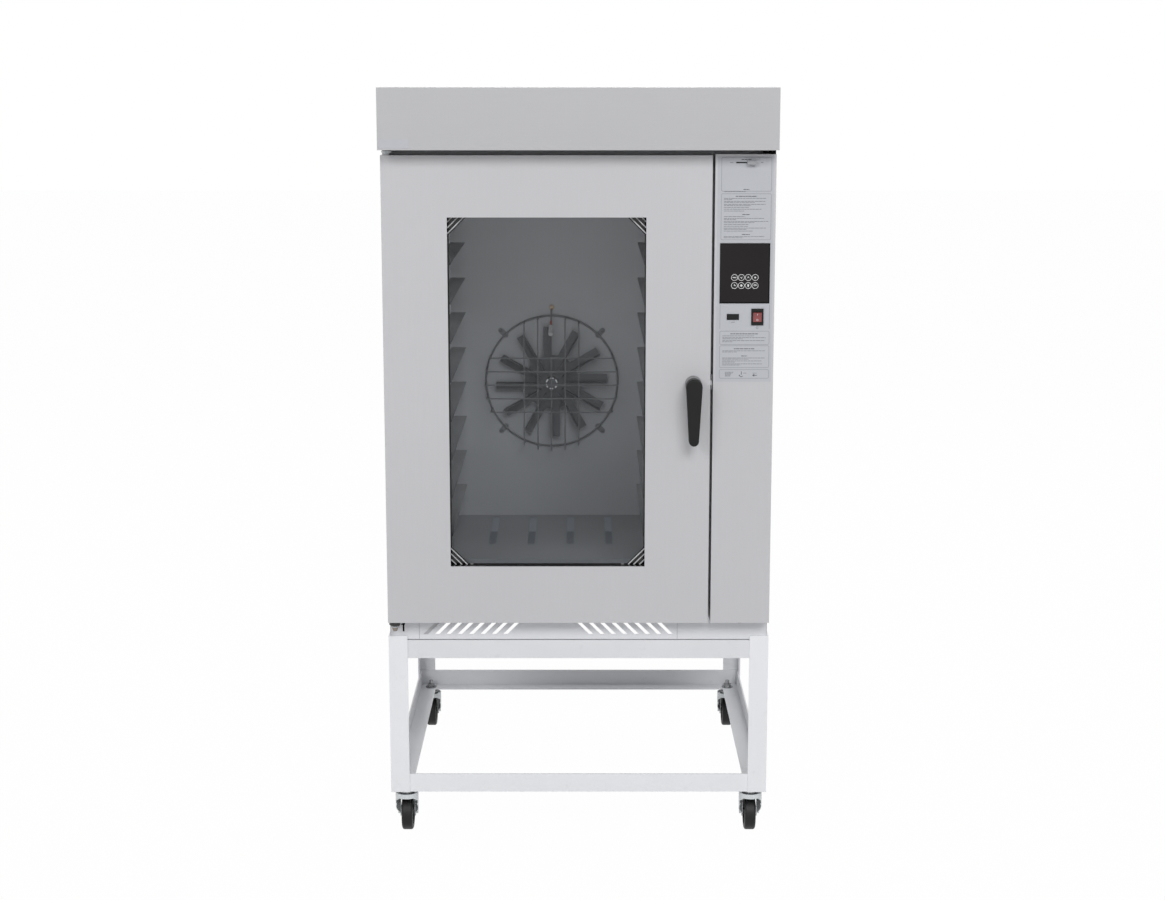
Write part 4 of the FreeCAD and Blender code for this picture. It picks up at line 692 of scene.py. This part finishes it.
floor_high = box("floor_plate")[1]
RAMP_LONG, RAMP_RISE = 165.0, 10.0
STRIP_STEPS, STRIP_PITCH = (-1.5, -0.5, 0.5, 1.5), 111.0
STRIP_HALF, STRIP_THICK = 14.0, 1.0
STRIP_DROP = 4.0
STRIP_FRONT = floor_high.y - 352
STRIP_END = 6.0
bend = Vector((0, floor_high.y - RAMP_LONG, floor_high.z - RAMP_RISE - STRIP_DROP))
ramp = Matrix.Translation(bend) @ Matrix.Rotation(math.atan2(RAMP_RISE, RAMP_LONG), 4, "X")
lit_strips = Piece()
shaded_strips = Piece()
for step in STRIP_STEPS:
    x = fan.x + step * STRIP_PITCH
    shaded_strips.bar(x - STRIP_HALF, bend.z - STRIP_THICK, x + STRIP_HALF, bend.z, bend.y, STRIP_FRONT)
    lit_strips.bar(x - STRIP_HALF, -STRIP_THICK, x + STRIP_HALF, 0, RAMP_LONG - STRIP_END, 0, ramp)
lit_strips.build("shield_strips_rear", shield_lit_copy, "oven")
shaded_strips.build("shield_strips_front", shield_shaded_copy, "oven")

# lap strips behind the two joints of the plinth

vent_low, vent_high = box("plinth_vent")
SHEET = 1.5
LAP_HALF = 7.0
LAP_GAP = 0.1
PLINTH_BACK = vent_low.y + SHEET
laps = Piece()
for x in (vent_low.x, vent_high.x):
    laps.bar(x - LAP_HALF, vent_low.z + SHEET, x + LAP_HALF, vent_high.z - SHEET,
             PLINTH_BACK + SHEET, PLINTH_BACK + LAP_GAP)
laps.build("plinth_laps", zinc_sheet, "oven")

# plate close behind the plinth's first vent slot, where the hinge is bolted

VENT_FOOT, VENT_SILL = vent_low.x + 10.5, vent_low.z + 13.6
VENT_WIDE, VENT_RISE = 12.0, 35.0
BACKING_LAP = 4.0
backing = Piece()
back = PLINTH_BACK + SHEET + 2 * LAP_GAP
low, high = VENT_SILL - BACKING_LAP, VENT_SILL + VENT_RISE + BACKING_LAP
backing.prism([(VENT_FOOT - 2 * BACKING_LAP, low), (VENT_FOOT + VENT_WIDE, low),
               (VENT_FOOT + VENT_WIDE + VENT_RISE + 2 * BACKING_LAP, high), (VENT_FOOT + VENT_RISE, high)],
              back + SHEET, back)
backing.build("slot_backing", sheet_steel, "oven")

# painted shade: a black block in the corner between the column's top and the hood, where the gap lies in
# shade

SHADE_BLOCK_LONG, SHADE_BLOCK_POST, SHADE_BLOCK_BASE = 28.0, 13.0, 4.0
SHADE_BLOCK_INSET = 1.5
column_high = box("control_column")[1]
right = column_high.x - SHADE_BLOCK_INSET
low, high = column_high.z, box("hood")[0].z
shade_block = Piece()
shade_block.prism([(right - SHADE_BLOCK_LONG, low), (right, low), (right, high), (right - SHADE_BLOCK_POST, high),
            (right - SHADE_BLOCK_POST, low + SHADE_BLOCK_BASE), (right - SHADE_BLOCK_LONG, low + SHADE_BLOCK_BASE)],
           vent_low.y - SHADE_BLOCK_INSET, column_front + SHADE_BLOCK_INSET)
shade_block.build("corner_shade_block", shade_black, "oven")

# painted shade: a black patch on the plinth beside the lower hinge, for a slot in deep shade

SLOT_LEFT, SLOT_RIGHT = -467.0, -462.3
SLOT_LOW, SLOT_HIGH = 575.0, 597.0
SLOT_RADIUS = 1.5
slot_shade = Piece()
slot_shade.prism(rounded(SLOT_LEFT, SLOT_LOW, SLOT_RIGHT, SLOT_HIGH, SLOT_RADIUS),
                vent_low.y, vent_low.y - INK_RISE)
slot_shade.build("hinge_slot_shade", shade_black, "oven")

# screw heads of the fan guard; sizes of a head's parts are shares of its radius and rise

CROWN_OUTER, CROWN_INNER = 0.82, 0.40
BRIDGE_LONG, BRIDGE_WIDE = 0.5, 0.1
FLANGE_RISE, BRIDGE_RISE = 0.6, 0.8
SCREW_STEPS = 16
FACING = {
    "front": Matrix(),
    "rear": Matrix.Rotation(math.pi, 4, "Z"),
    "right": Matrix.Rotation(math.pi / 2, 4, "Z"),
    "left": Matrix.Rotation(-math.pi / 2, 4, "Z"),
    "top": Matrix.Rotation(-math.pi / 2, 4, "X"),
}


def screws(spots, facing, radius, rise, name, finish, slot):
    """Low screw heads with a raised crown and a bridge across it, standing on a face."""
    piece = Piece()
    for spot in spots:
        place = Matrix.Translation(spot) @ FACING[facing]
        piece.prism(arc(0, 0, radius, steps=SCREW_STEPS), 0, -rise * FLANGE_RISE, place)
        piece.band(*(arc(0, 0, radius * share, steps=SCREW_STEPS) for share in (CROWN_OUTER, CROWN_INNER)),
                   0, -rise, place)
        piece.bar(-radius * BRIDGE_LONG, -radius * BRIDGE_WIDE, radius * BRIDGE_LONG, radius * BRIDGE_WIDE,
                  0, -rise * BRIDGE_RISE, place)
    piece.build(name, finish, "oven")


GUARD_SCREW = (5.0, 2.6)
TAB_REACH = 213.0 * math.sqrt(0.5)
TAB_THICK = 2
TAB_FACE = box("fan_guard")[1].y - TAB_THICK
screws([(fan.x + i * TAB_REACH, TAB_FACE, fan.z + j * TAB_REACH) for i in (-1, 1) for j in (-1, 1)],
       "front", *GUARD_SCREW, "guard_screws", fan_steel, "wire_steel")

# sheet-metal screws along the edges of the rear, top and side panels

PANEL_SCREW = (4.5, 2.0)
EDGE_INSET = 15.0
LOW_INSET = 14.5
COLUMNS = (-2, -1, 0, 1, 2)
COLUMN_PITCH = 161.5
ROW_PITCH = 215.0
REAR_ROWS, REAR_FIRST = 6, 75
ROOF_ROWS, ROOF_FIRST = 5, -380
SIDE_PITCH, SIDE_SHIFT = 220, 40
rear_low, rear_high = box("rear_panel")
roof_high = box("top_panel")[1]
edge_x = roof_high.x - EDGE_INSET
row_levels = (rear_low.z + LOW_INSET, rear_high.z - EDGE_INSET)

rear_spots = [(side * edge_x, rear_high.y, row_levels[0] + REAR_FIRST + ROW_PITCH * k)
              for side in (-1, 1) for k in range(REAR_ROWS)]
rear_spots += [(COLUMN_PITCH * i, rear_high.y, z) for i in COLUMNS for z in row_levels]
screws(rear_spots, "rear", *PANEL_SCREW, "rear_screws", bright_zinc, "zinc_steel")
roof_spots = [(side * edge_x, ROOF_FIRST + ROW_PITCH * k, roof_high.z)
              for side in (-1, 1) for k in range(ROOF_ROWS)]
roof_spots += [(COLUMN_PITCH * i, roof_high.y - EDGE_INSET, roof_high.z) for i in COLUMNS]
screws(roof_spots, "top", *PANEL_SCREW, "roof_screws", bright_zinc, "zinc_steel")
for facing, face in (("left", -roof_high.x), ("right", roof_high.x)):
    side_spots = [(face, SIDE_PITCH * i + SIDE_SHIFT, z) for i in COLUMNS for z in row_levels]
    screws(side_spots, facing, *PANEL_SCREW, f"side_screws_{facing}", bright_zinc, "zinc_steel")


# stage: pale floor, white surround, soft lamps, camera

FLOOR_REACH = 30.0
floor_corners = [(i * FLOOR_REACH, j * FLOOR_REACH, 0) for i, j in ((-1, -1), (1, -1), (1, 1), (-1, 1))]
floor_mesh = bpy.data.meshes.new("studio_floor")
floor_mesh.from_pydata(floor_corners, [], [(0, 1, 2, 3)])
floor = bpy.data.objects.new("studio_floor", floor_mesh)
scene.collection.objects.link(floor)


def seen_directly(tree):
    """1 for camera, mirror and see-through rays, 0 for the rays that light the object."""
    path = tree.nodes.new("ShaderNodeLightPath")
    total = path.outputs["Is Camera Ray"]
    for name in ("Is Glossy Ray", "Is Transmission Ray"):
        step = tree.nodes.new("ShaderNodeMath")
        step.operation = "MAXIMUM"
        tree.links.new(total, step.inputs[0])
        tree.links.new(path.outputs[name], step.inputs[1])
        total = step.outputs[0]
    return total


def blend(tree, factor, first, second, output):
    both = tree.nodes.new("ShaderNodeMixShader")
    tree.links.new(factor, both.inputs[0])
    tree.links.new(first.outputs[0], both.inputs[1])
    tree.links.new(second.outputs[0], both.inputs[2])
    tree.links.new(both.outputs[0], output.inputs["Surface"])


FLOOR_GREY = 0.70
FLOOR_SHARE = 0.985
floor_paint = bpy.data.materials.new("studio_floor")
floor_paint.use_nodes = True
tree = floor_paint.node_tree
tree.nodes.remove(tree.nodes["Principled BSDF"])
matt = tree.nodes.new("ShaderNodeBsdfDiffuse")
matt.inputs["Color"].default_value = (FLOOR_GREY, FLOOR_GREY, FLOOR_GREY, 1)
glow = tree.nodes.new("ShaderNodeEmission")
glow.inputs["Color"].default_value = WHITE
glow.inputs["Strength"].default_value = 1.0
share = tree.nodes.new("ShaderNodeMath")
share.operation = "MULTIPLY"
share.inputs[1].default_value = FLOOR_SHARE
tree.links.new(seen_directly(tree), share.inputs[0])
blend(tree, share.outputs[0], matt, glow, tree.nodes["Material Output"])
floor_mesh.materials.append(floor_paint)

FILL_STRENGTH = 0.30
FILL_TINT = (0.98, 0.99, 1.0, 1)
world = bpy.data.worlds.new("studio")
world.use_nodes = True
scene.world = world
tree = world.node_tree
tree.nodes.clear()
fill = tree.nodes.new("ShaderNodeBackground")
fill.inputs["Color"].default_value = FILL_TINT
fill.inputs["Strength"].default_value = FILL_STRENGTH
white = tree.nodes.new("ShaderNodeBackground")
white.inputs["Color"].default_value = WHITE
white.inputs["Strength"].default_value = 1.0
blend(tree, seen_directly(tree), fill, white, tree.nodes.new("ShaderNodeOutputWorld"))


def lamp(name, spot, target, wide, high, power):
    """Soft rectangular lamp, in metres and watts."""
    data = bpy.data.lights.new(name, "AREA")
    data.shape = "RECTANGLE"
    data.size = wide
    data.size_y = high
    data.energy = power
    item = bpy.data.objects.new(name, data)
    scene.collection.objects.link(item)
    item.location = spot
    item.rotation_euler = (Vector(target) - Vector(spot)).to_track_quat("-Z", "Y").to_euler()


OVEN_MIDDLE = (0, 0, 1.0)
lamp("key", (2.6, -11.5, 7.8), OVEN_MIDDLE, 5.0, 4.0, 690)
lamp("side", (-5.6, -10.0, 6.2), OVEN_MIDDLE, 4.0, 4.0, 330)
lamp("rear", (0.5, 5.2, 5.0), OVEN_MIDDLE, 3.0, 3.0, 90)
lamp("left", (-4.5, 1.2, 5.0), OVEN_MIDDLE, 2.5, 2.5, 55)
lamp("right", (4.5, 1.2, 5.0), OVEN_MIDDLE, 2.5, 2.5, 55)
lamp("cavity", (-0.08, -0.44, 1.40), (-0.08, 0.30, 1.40), 0.5, 0.9, 3.1)

# camera of the photograph: focal length and width in its pixels
PHOTO_FOCAL, PHOTO_WIDTH = 2078.0, 1165.0
CAMERA_PITCH = 10.39
CAMERA_SPOT = (0.0105, -5.796, 2.0445)
lens = bpy.data.cameras.new("camera")
lens.sensor_fit = "HORIZONTAL"
lens.sensor_width = 36.0
lens.lens = lens.sensor_width * PHOTO_FOCAL / PHOTO_WIDTH
lens.clip_end = 100.0
camera = bpy.data.objects.new("camera", lens)
scene.collection.objects.link(camera)
camera.location = CAMERA_SPOT
camera.rotation_euler = (math.radians(90 - CAMERA_PITCH), 0, 0)
scene.camera = camera

scene.view_settings.view_transform = "Standard"
